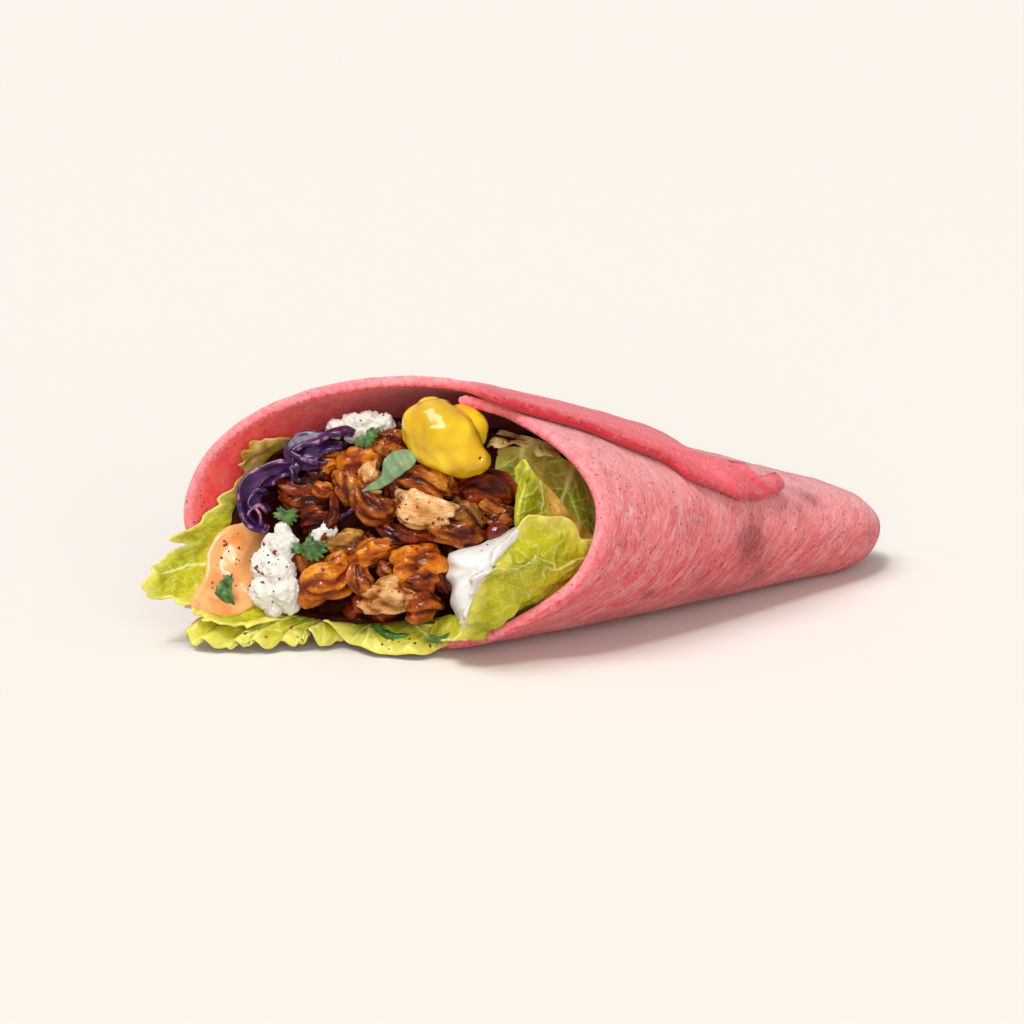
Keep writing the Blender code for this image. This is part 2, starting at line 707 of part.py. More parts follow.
def make_contents(collection, helpers, bread):
    """Every ingredient in turn, each kept clear of those placed before it."""
    green = material("lettuce", (0.33, 0.47, 0.05), 0.5)
    olive = material("shaded_lettuce", (0.27, 0.25, 0.05), 0.5)
    herb = material("herb", (0.06, 0.16, 0.05), 0.6)
    white = material("cheese", (0.86, 0.83, 0.78), 0.8)
    purple = material("cabbage", (0.07, 0.01, 0.09), 0.35)
    placed = [bread]

    def settle(made, look):
        keep_clear(made, placed, helpers)
        made.data.materials.clear()
        made.data.materials.append(look)
        placed.append(made)

    settle(make_leaf("leaf_left", 34, 6, left_leaf, collection), green)
    settle(make_leaf("leaf_floor", 26, 6, floor_leaf, collection), green)
    settle(make_leaf("leaf_front", 22, 6, front_leaf, collection), green)
    settle(make_leaf("leaf_near", 22, 6, near_leaf, collection), green)
    settle(make_leaf("leaf_standing", 10, 6, standing_leaf, collection), olive)
    settle(make_leaf("leaf_back", 6, 4, back_leaf, collection), olive)
    settle(make_leaf("leaf_roof", 8, 3, roof_leaf, collection), olive)
    settle(make_leaf("leaf_dark", 5, 3, dark_leaf, collection), olive)

    pepper = make_pepper(collection, helpers)
    settle(pepper, material("pepperoncini", (0.72, 0.47, 0.01), 0.25))
    for name, outline in HERBS.items():
        settle(make_flat_leaf(name, outline, 0.6, 0.8, collection), herb)
    bean = make_clump("bean", [(33.1, -1.0, 1.5, 3.5)], collection, helpers)
    settle(bean, material("bean", (0.16, 0.012, 0.01), 0.2))
    slice_spine = [(-3.6, -31.2, -1), (-0.6, -33.4, -1), (4.2, -34.4, -1), (8.4, -33.8, -1)]
    settle(make_ribbon("green_pepper", slice_spine, 3.0, 2.0, collection),
           material("green_pepper", (0.06, 0.17, 0.02), 0.3))

    arc = [(-34.8, 16.6, -3), (-40.5, 15.3, -1), (-45.4, 12.9, 1), (-48.6, 9.3, 2), (-49.8, 3.5, 3),
           (-48.6, -1.1, 3), (-45.4, -4.3, 3), (-41.4, -5.1, 2)]
    settle(make_ribbon("cabbage_arc", arc, 5.5, 1.7, collection), purple)
    fold = [(-43.0, 7.2, 1), (-46.0, 6.3, 2), (-46.6, 2.2, 3), (-43.6, 2.4, 3), (-41.6, 0.4, 2.5)]
    settle(make_ribbon("cabbage_fold", fold, 4.0, 1.2, collection), purple)
    loop = [(-26.4, 16.4, -1), (-32.2, 16.8, 0), (-36.0, 19.6, 0), (-33.0, 23.6, -1), (-27.4, 24.6, -1),
            (-23.1, 26.6, -1), (-19.5, 27.4, -2), (-16.8, 27.0, -3)]
    settle(make_ribbon("cabbage_loop", loop, 4.6, 1.7, collection), purple)

    settle(make_clump("feta_front", [
        (-38.2, -24.0, 3, 5.2), (-31.0, -23.6, 3.5, 5.0), (-39.0, -15.6, 3, 4.8),
        (-33.8, -17.4, 4, 5.2), (-33.4, -9.4, 4, 4.6), (-38.2, -9.4, 1, 3.6), (-30.2, -27.0, 2, 3.4),
    ], collection, helpers), white)
    settle(make_clump("feta_small", [(-23.6, -5.6, 1, 2.4), (-20.6, -3.6, 1, 2.6)],
                      collection, helpers), white)
    settle(make_clump("feta_back", [
        (-24.5, 29.0, -8, 3.2), (-19.6, 30.6, -8, 3.4), (-14.6, 31.8, -9, 3.4), (-9.4, 31.2, -9, 3.2),
    ], collection, helpers), white)

    pool = [(18.4, -8.0), (24.0, -6.6), (28.2, -5.0), (31.0, -5.6), (36.6, -4.2), (40.4, 0.6),
            (43.6, -1.0), (43.4, -7.6), (36.3, -12.6), (31.1, -20.4), (27.7, -29.6), (25.2, -30.0),
            (23.0, -27.6), (20.7, -23.6), (20.6, -18.6), (18.2, -13.4)]
    settle(make_slab("white_sauce", pool, 1.5, -5.0, 2.0, collection),
           material("white_sauce", (0.86, 0.84, 0.82), 0.3))
    pool = [(-59.0, -8.6), (-52.6, -5.0), (-45.6, -3.4), (-37.0, -6.0), (-35.0, -16.0), (-37.0, -27.0),
            (-46.0, -29.6), (-54.4, -29.8), (-61.6, -27.8), (-62.0, -22.8), (-60.6, -15.9)]
    settle(make_slab("orange_sauce", pool, -2.6, -8.0, 1.6, collection),
           material("orange_sauce", (0.82, 0.36, 0.16), 0.3))
    settle(make_meat(collection, helpers), material("meat", (0.36, 0.1, 0.025), 0.35))
    return placed


def main():
    for made in list(bpy.data.objects):
        bpy.data.objects.remove(made)
    collection = bpy.data.collections.new("filled_wrap")
    bpy.context.scene.collection.children.link(collection)
    helpers = bpy.data.collections.new("cutters")
    bpy.context.scene.collection.children.link(helpers)
    helpers.hide_render = True

    bread = make_flatbread(collection, helpers)
    bread.data.materials.clear()
    bread.data.materials.append(material("flatbread", (0.78, 0.16, 0.2), 0.75))
    for made in make_contents(collection, helpers, bread):
        for face in made.data.polygons:
            face.use_smooth = True


main()
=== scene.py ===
"""Looks of a rolled beetroot flatbread wrap that lies on its side with its filling showing.

Every form is worked out in millimetres in the wrap's own frame: X from the mouth to the closed tip,
Y away from the shown side, Z up from the surface. The last step turns millimetres into metres.
"""

import logging
import math
from collections.abc import Callable, Sequence
from dataclasses import dataclass, field
from enum import Enum

import bmesh
import bpy
import numpy as np
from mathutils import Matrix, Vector, noise
from mathutils.bvhtree import BVHTree


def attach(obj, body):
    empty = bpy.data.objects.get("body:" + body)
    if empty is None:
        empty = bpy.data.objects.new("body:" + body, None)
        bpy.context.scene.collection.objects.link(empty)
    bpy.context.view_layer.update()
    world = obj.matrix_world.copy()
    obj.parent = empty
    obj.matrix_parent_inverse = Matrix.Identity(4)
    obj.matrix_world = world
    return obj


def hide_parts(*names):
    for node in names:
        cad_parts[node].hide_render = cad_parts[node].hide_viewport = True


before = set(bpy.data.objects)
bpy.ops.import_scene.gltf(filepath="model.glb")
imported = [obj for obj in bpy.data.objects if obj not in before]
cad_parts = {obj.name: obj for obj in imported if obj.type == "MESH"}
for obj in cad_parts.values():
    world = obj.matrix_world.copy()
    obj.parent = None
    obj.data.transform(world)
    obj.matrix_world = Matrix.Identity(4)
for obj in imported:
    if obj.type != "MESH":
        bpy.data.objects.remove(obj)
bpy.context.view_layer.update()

logging.basicConfig(level=logging.INFO, format="%(message)s")
LOG = logging.getLogger("wrap")

Array = np.ndarray
Surface = Callable[[Array, Array], Array]

MM = 0.001
SHIFT = np.array([-19.67, -3.97, 0.0])
# Points nearer to each other than this many metres become one along a seam.
WELD = 2e-6


# Numbers and curves


def smooth(share: Array | float) -> Array:
    """Eases a share of 0 to 1 in and out."""
    share = np.clip(share, 0.0, 1.0)
    return share * share * (3.0 - 2.0 * share)


def along(value: Array | float, places: Sequence[float], heights: Sequence[float]) -> Array:
    """Reads a smooth curve through heights that stand at places.

    Args:
        value: Where to read the curve.
        places: The places in rising order.
        heights: The curve's height at each place.

    Returns:
        The heights at value.
    """
    x, y = np.asarray(places, float), np.asarray(heights, float)
    slopes = np.gradient(y, x)
    value = np.clip(np.asarray(value, float), x[0], x[-1])
    i = np.clip(np.searchsorted(x, value) - 1, 0, len(x) - 2)
    step = x[i + 1] - x[i]
    s = (value - x[i]) / step
    rising = (s**3 - 2 * s**2 + s) * slopes[i] + (s**3 - s**2) * slopes[i + 1]
    return (2 * s**3 - 3 * s**2 + 1) * y[i] + (3 * s**2 - 2 * s**3) * y[i + 1] + step * rising


def path_through(points: Sequence[Sequence[float]], share: Array) -> Array:
    """Points at shares of a smooth path through the given points."""
    table = np.asarray(points, float)
    places = np.arange(len(table))
    where = np.asarray(share) * (len(table) - 1)
    return np.stack([along(where, places, table[:, k]) for k in range(table.shape[1])], -1)


def unit(vectors: Array) -> Array:
    """The same directions, each of length 1."""
    return vectors / np.maximum(np.linalg.norm(vectors, axis=-1, keepdims=True), 1e-9)


def lumps(points: Array, size: float, octaves: int = 2, seed: float = 0.0) -> Array:
    """Soft random relief between about -1 and 1.

    Args:
        points: Places in millimetres, with a last axis of three.
        size: Width of the largest lumps in millimetres.
        octaves: How many finer layers are added.
        seed: Moves the pattern, so that two pieces differ.

    Returns:
        One value for each point.
    """
    flat = (np.asarray(points, float) / size + seed * 7.31).reshape(-1, 3)
    values = [noise.fractal(Vector(p), 0.9, 2.1, octaves) for p in flat]
    return np.asarray(values).reshape(np.shape(points)[:-1])


def creases(points: Array, size: float, seed: float = 0.0) -> Array:
    """Distance to the nearest border between random cells, from 0 on it to about 1."""
    flat = (np.asarray(points, float) / size + seed * 5.17).reshape(-1, 3)
    gaps = []
    for place in flat:
        near = noise.voronoi(Vector(place))[0]
        gaps.append(near[1] - near[0])
    return np.asarray(gaps).reshape(np.shape(points)[:-1])


def spread(count: int, rounding: Sequence[float] = (), at_end: bool = False) -> Array:
    """Even steps from 0 to 1 with extra ones near the start, and the end too where it is asked."""
    base = np.linspace(0.0, 1.0, count + 1)
    extra = list(rounding) + ([1.0 - r for r in rounding] if at_end else [])
    return np.unique(np.round(np.concatenate([base, extra]), 6))


# The wrap's own form


@dataclass(frozen=True)
class WrapForm:
    """The rolled flatbread's measured form, and the frame of its mouth."""

    mouth_x: float = -92.0
    tip_x: float = 147.6
    stations: tuple = (-0.3, 0.0, 0.2, 0.4, 0.6, 0.8, 0.93, 1.0)
    half_width: tuple = (55.5, 53.4, 52.9, 48.6, 39.8, 29.6, 21.6, 15.0)
    half_height: tuple = (43.0, 42.2, 40.5, 35.1, 26.9, 19.2, 14.1, 10.5)
    centre_z: tuple = (42.3, 41.5, 39.9, 34.6, 26.4, 18.7, 13.6, 11.8)
    centre_y: tuple = (4.0, 4.0, 3.0, 0.0, -1.0, -1.0, -2.0, -3.0)
    roundness: float = 2.18
    thickness: float = 3.4
    flap_lift: float = 4.3
    rim_angle: tuple = (2, 16, 30, 40, 50, 60, 75, 86, 95, 104, 112, 128, 150, 180, 220, 245, 262,
                        278, 294, 310, 330, 345, 360, 375, 388, 397, 403, 411, 415, 422, 426, 428)
    rim_share: tuple = (0.300, 0.335, 0.345, 0.355, 0.365, 0.375, 0.381, 0.371, 0.357, 0.337, 0.312,
                        0.27, 0.24, 0.19, 0.10, 0.045, 0.026, 0.042, 0.083, 0.14, 0.215, 0.27, 0.305,
                        0.31, 0.325, 0.382, 0.433, 0.484, 0.528, 0.569, 0.611, 0.645)
    middle: tuple = (-42.0, 2.0, 38.0)
    across: tuple = (0.6359, -0.7718, 0.0)
    upward: tuple = (0.2711, 0.2234, 0.9363)
    outward: tuple = (-0.7226, -0.5953, 0.3513)

    def rim(self, angle: Array | float) -> Array:
        """Share of the length where the rim lies at an angle."""
        return along(angle, self.rim_angle, self.rim_share)

    def lift(self, angle: Array, share: Array) -> Array:
        """How far the overlapping layer stands off the layer under it."""
        start = 300.0 + 34.0 * smooth((share - 0.4) / 0.25)
        rise = smooth((angle - start) / (361.0 - start))
        return self.flap_lift * rise * (1.0 - smooth((share - 0.738) / 0.07))

    def point(self, angle: Array, share: Array, depth: Array | float = 0.0, lifted: bool = True) -> Array:
        """Points of the outer face, or set in from it where depth is below 0.

        Args:
            angle: Degrees round the roll, 0 on top, 90 on the shown side.
            share: Share of the length, 0 at the mouth and 1 at the tip.
            depth: Millimetres out from the outer face.
            lifted: Whether the overlap stands off.

        Returns:
            Points in millimetres.
        """
        angle, share, depth = np.broadcast_arrays(*(np.asarray(a, float) for a in (angle, share, depth)))
        side, up = np.sin(np.radians(angle)), np.cos(np.radians(angle))
        wide = along(share, self.stations, self.half_width)
        high = along(share, self.stations, self.half_height)
        power = self.roundness
        radius = (np.abs(side / wide) ** power + np.abs(up / high) ** power) ** (-1 / power)
        closing = np.clip((share - 0.88) / 0.12, 0.0, 1.0)
        radius = radius * np.sqrt(np.maximum(1.0 - closing**2.4, 0.0))
        radius = np.maximum(radius + depth, 0.0)
        if lifted:
            radius = radius + self.lift(angle, share)
        return np.stack([
            self.mouth_x + (self.tip_x - self.mouth_x) * share,
            along(share, self.stations, self.centre_y) - side * radius,
            along(share, self.stations, self.centre_z) + up * radius,
        ], -1)

    def mouth(self, across: Array | float, up: Array | float, out: Array | float = 0.0) -> Array:
        """Points given in the mouth's own frame: across it, up it and out of it."""
        parts = np.broadcast_arrays(*(np.asarray(a, float)[..., None] for a in (across, up, out)))
        place = np.asarray(self.middle) + parts[0] * np.asarray(self.across)
        return place + parts[1] * np.asarray(self.upward) + parts[2] * np.asarray(self.outward)

    def mouth_points(self, table: Array) -> Array:
        """The same for an array whose last axis is across, up and out."""
        table = np.asarray(table, float)
        return self.mouth(table[..., 0], table[..., 1], table[..., 2])


FORM = WrapForm()


@dataclass(frozen=True)
class Sight:
    """Lines of sight from the photograph's viewpoint, by pixel of its 1024 pixel square."""

    aim: tuple = (-0.01967, -0.00397, 0.036)
    azimuth: float = -35.0
    elevation: float = 14.0
    distance: float = 0.9
    lens: float = 101.43
    sensor: float = 36.0
    size: int = 1024

    def away(self) -> Vector:
        """The way from the object to the eye."""
        turn, rise = math.radians(self.azimuth), math.radians(self.elevation)
        return Vector((math.sin(turn) * math.cos(rise), -math.cos(turn) * math.cos(rise), math.sin(rise)))

    def eye(self) -> Vector:
        """Where the picture was taken from."""
        return Vector(self.aim) + self.away() * self.distance

    def ray(self, x: float, y: float) -> Vector:
        """The way out through a pixel."""
        forward = -self.away()
        right = forward.cross(Vector((0, 0, 1))).normalized()
        up = right.cross(forward)
        focal = self.lens / self.sensor * self.size
        half = self.size / 2.0
        return (forward + right * ((x - half) / focal) + up * ((half - y) / focal)).normalized()

    def meet(self, x: float, y: float, trees: list[BVHTree]) -> tuple[Vector, Vector, float] | None:
        """What a line of sight meets first.

        Args:
            x: Pixels from the left.
            y: Pixels from the top.
            trees: The pieces that it may meet.

        Returns:
            The place, the face's normal and the distance, or None.
        """
        way, eye = self.ray(x, y), self.eye()
        hits = [hit for hit in (tree.ray_cast(eye, way, 2.0) for tree in trees) if hit[0]]
        if not hits:
            return None
        place, normal, _, distance = min(hits, key=lambda hit: hit[3])
        return place, (normal if normal.dot(way) < 0 else -normal), distance


SIGHT = Sight()


def trees_of(pieces: Sequence[bpy.types.Object]) -> list[BVHTree]:
    """Search trees of finished pieces."""
    graph = bpy.context.evaluated_depsgraph_get()
    graph.update()
    return [BVHTree.FromObject(piece, graph) for piece in pieces]


# Meshes


def to_row(points: Array) -> Array:
    """Millimetres in the wrap's frame to metres in the part's frame."""
    return (np.asarray(points) + SHIFT) * MM


def finish_mesh(name: str, shape: bmesh.types.BMesh) -> bpy.types.Object:
    """Makes a bmesh an object at the origin, smooth all over."""
    mesh = bpy.data.meshes.new(name)
    shape.to_mesh(mesh)
    shape.free()
    made = bpy.data.objects.new(name, mesh)
    bpy.context.scene.collection.objects.link(made)
    mesh.polygons.foreach_set("use_smooth", [True] * len(mesh.polygons))
    return made


def bake(made: bpy.types.Object) -> bpy.types.Object:
    """Applies the modifiers of an object."""
    graph = bpy.context.evaluated_depsgraph_get()
    graph.update()
    mesh = bpy.data.meshes.new_from_object(made.evaluated_get(graph))
    made.modifiers.clear()
    old, made.data = made.data, mesh
    bpy.data.meshes.remove(old)
    return made


def points_of(made: bpy.types.Object) -> Array:
    """The object's vertices in metres."""
    points = np.empty(len(made.data.vertices) * 3)
    made.data.vertices.foreach_get("co", points)
    return points.reshape(-1, 3)


def normals_of(made: bpy.types.Object) -> Array:
    """The object's vertex normals."""
    normals = np.empty(len(made.data.vertices) * 3)
    made.data.vertex_normals.foreach_get("vector", normals)
    return normals.reshape(-1, 3)


def mark(made: bpy.types.Object, name: str, values: Array) -> None:
    """Stores one number a vertex under a name that materials read."""
    layer = made.data.attributes.get(name) or made.data.attributes.new(name, "FLOAT", "POINT")
    layer.data.foreach_set("value", np.asarray(values, float).ravel())


def push(made: bpy.types.Object, by: Array) -> None:
    """Moves each vertex along its normal by millimetres."""
    moved = points_of(made) + normals_of(made) * (by * MM)[:, None]
    moved[:, 2] = np.maximum(moved[:, 2], 0.0)
    made.data.vertices.foreach_set("co", moved.ravel())
    made.data.update()


def fuse(made: bpy.types.Object, voxel: float, rounds: int = 0) -> bpy.types.Object:
    """Fuses overlapping bodies into one skin and softens it.

    Args:
        made: The object to change.
        voxel: Size of the new faces in millimetres.
        rounds: How often the skin is smoothed.

    Returns:
        The same object.
    """
    skin = made.modifiers.new("Fuse", "REMESH")
    skin.mode = "VOXEL"
    skin.voxel_size = voxel * MM
    if rounds:
        soft = made.modifiers.new("Soften", "SMOOTH")
        soft.factor, soft.iterations = 0.5, rounds
    bake(made)
    made.data.polygons.foreach_set("use_smooth", [True] * len(made.data.polygons))
    return made


def cumulative(points: Array, axis: int) -> Array:
    """Length walked over a grid of points along one axis."""
    steps = np.linalg.norm(np.diff(points, axis=axis), axis=-1)
    return np.insert(np.cumsum(steps, axis=axis), 0, 0.0, axis=axis)


def grid_shape(shape: bmesh.types.BMesh, columns: int, rows: int, points: Array) -> list:
    """Adds a grid to a bmesh and lays it on points.

    Args:
        shape: The bmesh to add to.
        columns: Points along the first axis.
        rows: Points along the second axis.
        points: Where each one goes, in metres.

    Returns:
        The new vertices with their places in the grid.
    """
    made = bmesh.ops.create_grid(shape, x_segments=columns - 1, y_segments=rows - 1, size=0.5)
    placed = []
    for vert in made["verts"]:
        i = round((vert.co.x + 0.5) * (columns - 1))
        j = round((vert.co.y + 0.5) * (rows - 1))
        vert.co = points[i, j]
        placed.append((vert, i, j))
    return placed


@dataclass
class Skin:
    """A sheet-like piece: a surface given a thickness that rounds off at its edges."""

    name: str
    surface: Surface
    columns: Array
    rows: Array
    thickness: float
    closed: bool = False
    edge: float = 0.0
    relief: Callable[[Array, Array, Array, Array], Array] | None = None
    marks: dict = field(default_factory=dict)
    flip: bool = False
    floor: float = 0.0
    under_relief: float = 0.6

    def make(self) -> bpy.types.Object:
        """Builds the piece and stores where each vertex lies on the sheet.

        Returns:
            The object, with attributes lay_x and lay_y in millimetres, rim and outside.
        """
        u, v = np.meshgrid(self.columns, self.rows, indexing="ij")
        middle = self.surface(u, v)
        walked_x, walked_y = cumulative(middle, 0), cumulative(middle, 1)
        rim = np.minimum(walked_y, walked_y[:, -1:] - walked_y)
        if not self.closed:
            rim = np.minimum(rim, np.minimum(walked_x, walked_x[-1:] - walked_x))
        half, reach = self.thickness / 2.0, max(self.edge, self.thickness / 2.0)
        profile = half * np.sqrt(1.0 - (1.0 - np.clip(rim / reach, 0.0, 1.0)) ** 2)
        along_u = np.gradient(middle, axis=0)
        if self.closed:
            along_u[0] = along_u[-1] = middle[1] - middle[-2]
        normal = unit(np.cross(along_u, np.gradient(middle, axis=1)))
        if self.flip:
            normal = -normal
        raised = self.relief(u, v, middle, rim) if self.relief else np.zeros_like(u)
        raised = raised * np.clip(rim / reach, 0.0, 1.0)
        shape = bmesh.new()
        layers = {key: shape.verts.layers.float.new(key) for key in ("lay_x", "lay_y", "rim", "outside")}
        layers.update({key: shape.verts.layers.float.new(key) for key in self.marks})
        marks = {key: rule(u, v, middle, rim) for key, rule in self.marks.items()}
        count = u.shape
        for side in (1.0, -1.0):
            embossed = raised if side > 0 else raised * self.under_relief
            points = middle + normal * (side * profile + embossed)[..., None]
            points[..., 2] = np.maximum(points[..., 2], self.floor)
            for vert, i, j in grid_shape(shape, *count, to_row(points)):
                vert[layers["lay_x"]] = walked_x[i, j]
                vert[layers["lay_y"]] = walked_y[i, j]
                vert[layers["rim"]] = rim[i, j]
                vert[layers["outside"]] = max(side, 0.0)
                for key, values in marks.items():
                    vert[layers[key]] = values[i, j]
        border = [vert for vert in shape.verts if vert.is_boundary]
        bmesh.ops.remove_doubles(shape, verts=border, dist=WELD)
        bmesh.ops.dissolve_degenerate(shape, dist=1e-7, edges=shape.edges)
        outward_faces(shape)
        return finish_mesh(self.name, shape)


@dataclass
class Rod:
    """A round piece along a bent spine, with a radius at each part of it."""

    name: str
    spine: Sequence[Sequence[float]]
    radii: Sequence[float]
    flatten: float = 1.0
    sides: int = 48
    rings: int = 60

    def add(self, shape: bmesh.types.BMesh) -> None:
        """Adds the rod, closed at both ends, to a bmesh."""
        turn = np.linspace(0.0, 2.0 * math.pi, self.sides + 1)
        share = np.linspace(0.0, 1.0, self.rings)
        centre = FORM.mouth_points(path_through(self.spine, share))
        radius = along(share * (len(self.radii) - 1), range(len(self.radii)), self.radii)
        length = cumulative(centre, 0)
        gap = np.minimum(length, length[-1] - length)
        cap = np.clip(gap / np.maximum(radius, 0.1), 0.0, 1.0)
        radius = radius * np.sqrt(1.0 - (1.0 - cap) ** 2)
        ahead = unit(np.gradient(centre, axis=0))
        first = unit(np.cross(ahead, np.asarray(FORM.outward)))
        second = np.cross(first, ahead)
        c, s = np.cos(turn)[:, None, None], np.sin(turn)[:, None, None] * self.flatten
        points = centre + (first * c + second * s) * radius[:, None]
        placed = grid_shape(shape, self.sides + 1, self.rings, to_row(points))
        border = [vert for vert, i, j in placed if i in (0, self.sides) or j in (0, self.rings - 1)]
        bmesh.ops.remove_doubles(shape, verts=border, dist=WELD)


def outward_faces(shape: bmesh.types.BMesh) -> None:
    """Turns a closed body's faces to look out."""
    bmesh.ops.recalc_face_normals(shape, faces=shape.faces)
    if shape.calc_volume(signed=True) < 0.0:
        bmesh.ops.reverse_faces(shape, faces=shape.faces)


def rods(name: str, parts: Sequence[Rod]) -> bpy.types.Object:
    """One object of several rods."""
    shape = bmesh.new()
    for part in parts:
        part.add(shape)
    outward_faces(shape)
    return finish_mesh(name, shape)


# Materials


def linear(code: str) -> tuple[float, float, float, float]:
    """An sRGB hex colour as linear red, green, blue and alpha."""
    parts = [int(code[i:i + 2], 16) / 255.0 for i in (1, 3, 5)]
    return (*(p / 12.92 if p <= 0.04045 else ((p + 0.055) / 1.055) ** 2.4 for p in parts), 1.0)


Socket = bpy.types.NodeSocket


def node(tree: bpy.types.NodeTree, kind: str, inputs: dict | None = None, output: int | str = 0,
         **settings: object) -> Socket:
    """Adds a node with its settings and links.

    Args:
        tree: The tree it goes into.
        kind: The node's type name without its leading word.
        inputs: Values or links by socket name or number.
        output: Which of its outputs is asked for.
        settings: The node's own settings.

    Returns:
        That output.
    """
    made = tree.nodes.new("ShaderNode" + kind)
    for key, value in settings.items():
        setattr(made, key, value)
    for key, value in (inputs or {}).items():
        if isinstance(value, Socket):
            tree.links.new(value, made.inputs[key])
        else:
            made.inputs[key].default_value = value
    return made.outputs[output]


@dataclass(frozen=True)
class Layer:
    """A colour laid over those beneath it, more so as a pattern runs from low to high."""

    pattern: Socket
    low: float
    high: float
    colour: str | Socket
    amount: float | Socket = 1.0


@dataclass
class Finish:
    """A material under construction: the patterns, colours and relief that it is made of."""

    name: str

    def __post_init__(self) -> None:
        """Starts the material with its shader."""
        self.material = bpy.data.materials.new(self.name)
        self.material.use_nodes = True
        self.tree = self.material.node_tree
        self.shader = self.tree.nodes["Principled BSDF"]

    def pattern(self, size: float | Sequence[float], turn: float = 0.0, laid: bool = False,
                kind: str = "TexNoise", inputs: dict | None = None, shift: Socket | None = None,
                **settings: object) -> Socket:
        """Lays a pattern of a real size.

        Args:
            size: Millimetres that a unit of it takes, for all axes or for each.
            turn: Degrees that it is turned by.
            laid: Whether it follows the sheet and not space.
            kind: The texture that makes it.
            inputs: More sockets of that texture.
            shift: Moves it from place to place.
            settings: That texture's settings.

        Returns:
            Its value, from about 0 to 1.
        """
        if isinstance(size, float):
            size = (size, size, size)
        if laid:
            names = {"X": "lay_x", "Y": "lay_y"}
            axes = {key: node(self.tree, "Attribute", output="Fac", attribute_name=name)
                    for key, name in names.items()}
            source, unit = node(self.tree, "CombineXYZ", axes), 1.0
        else:
            source, unit = node(self.tree, "TexCoord", output="Object"), MM
        turned = node(self.tree, "Mapping", {"Vector": source, "Rotation": (0, 0, math.radians(turn))})
        where = node(self.tree, "Mapping", {"Vector": turned, "Scale": tuple(1.0 / (unit * s) for s in size)})
        if shift:
            where = node(self.tree, "VectorMath", {0: where, 1: shift}, operation="ADD")
        return node(self.tree, kind, {"Vector": where, "Scale": 1.0} | (inputs or {}), **settings)

    def paint(self, base: str | Socket, *layers: Layer) -> Socket:
        """Lays colours over a base, one after another, and gives the last."""
        colour = linear(base) if isinstance(base, str) else base
        for layer in layers:
            steady = isinstance(layer.amount, float)
            cover = node(self.tree, "MapRange", {
                "Value": layer.pattern, "From Min": layer.low, "From Max": layer.high,
                "To Max": layer.amount if steady else 1.0}, interpolation_type="SMOOTHSTEP")
            if not steady:
                cover = node(self.tree, "Math", {0: cover, 1: layer.amount}, operation="MULTIPLY")
            top = linear(layer.colour) if isinstance(layer.colour, str) else layer.colour
            colour = node(self.tree, "Mix", {0: cover, 6: colour, 7: top}, 2, data_type="RGBA")
        return colour

    def dress(self, colour: Socket, reliefs: Sequence[tuple] = (), **sockets: object) -> bpy.types.Material:
        """Sets the shader.

        Args:
            colour: The base colour.
            reliefs: Patterns to emboss, each with its depth in millimetres.
            sockets: More values or links by socket name, written with _ for a blank.

        Returns:
            The material.
        """
        values = {"Base Color": colour} | {key.replace("_", " "): value for key, value in sockets.items()}
        for height, depth in reliefs:
            before = {"Normal": values["Normal"]} if "Normal" in values else {}
            relief = {"Height": height, "Distance": depth * MM, "Strength": 1.0}
            values["Normal"] = node(self.tree, "Bump", relief | before)
        for key, value in values.items():
            if isinstance(value, Socket):
                self.tree.links.new(value, self.shader.inputs[key])
            else:
                self.shader.inputs[key].default_value = value
        return self.material


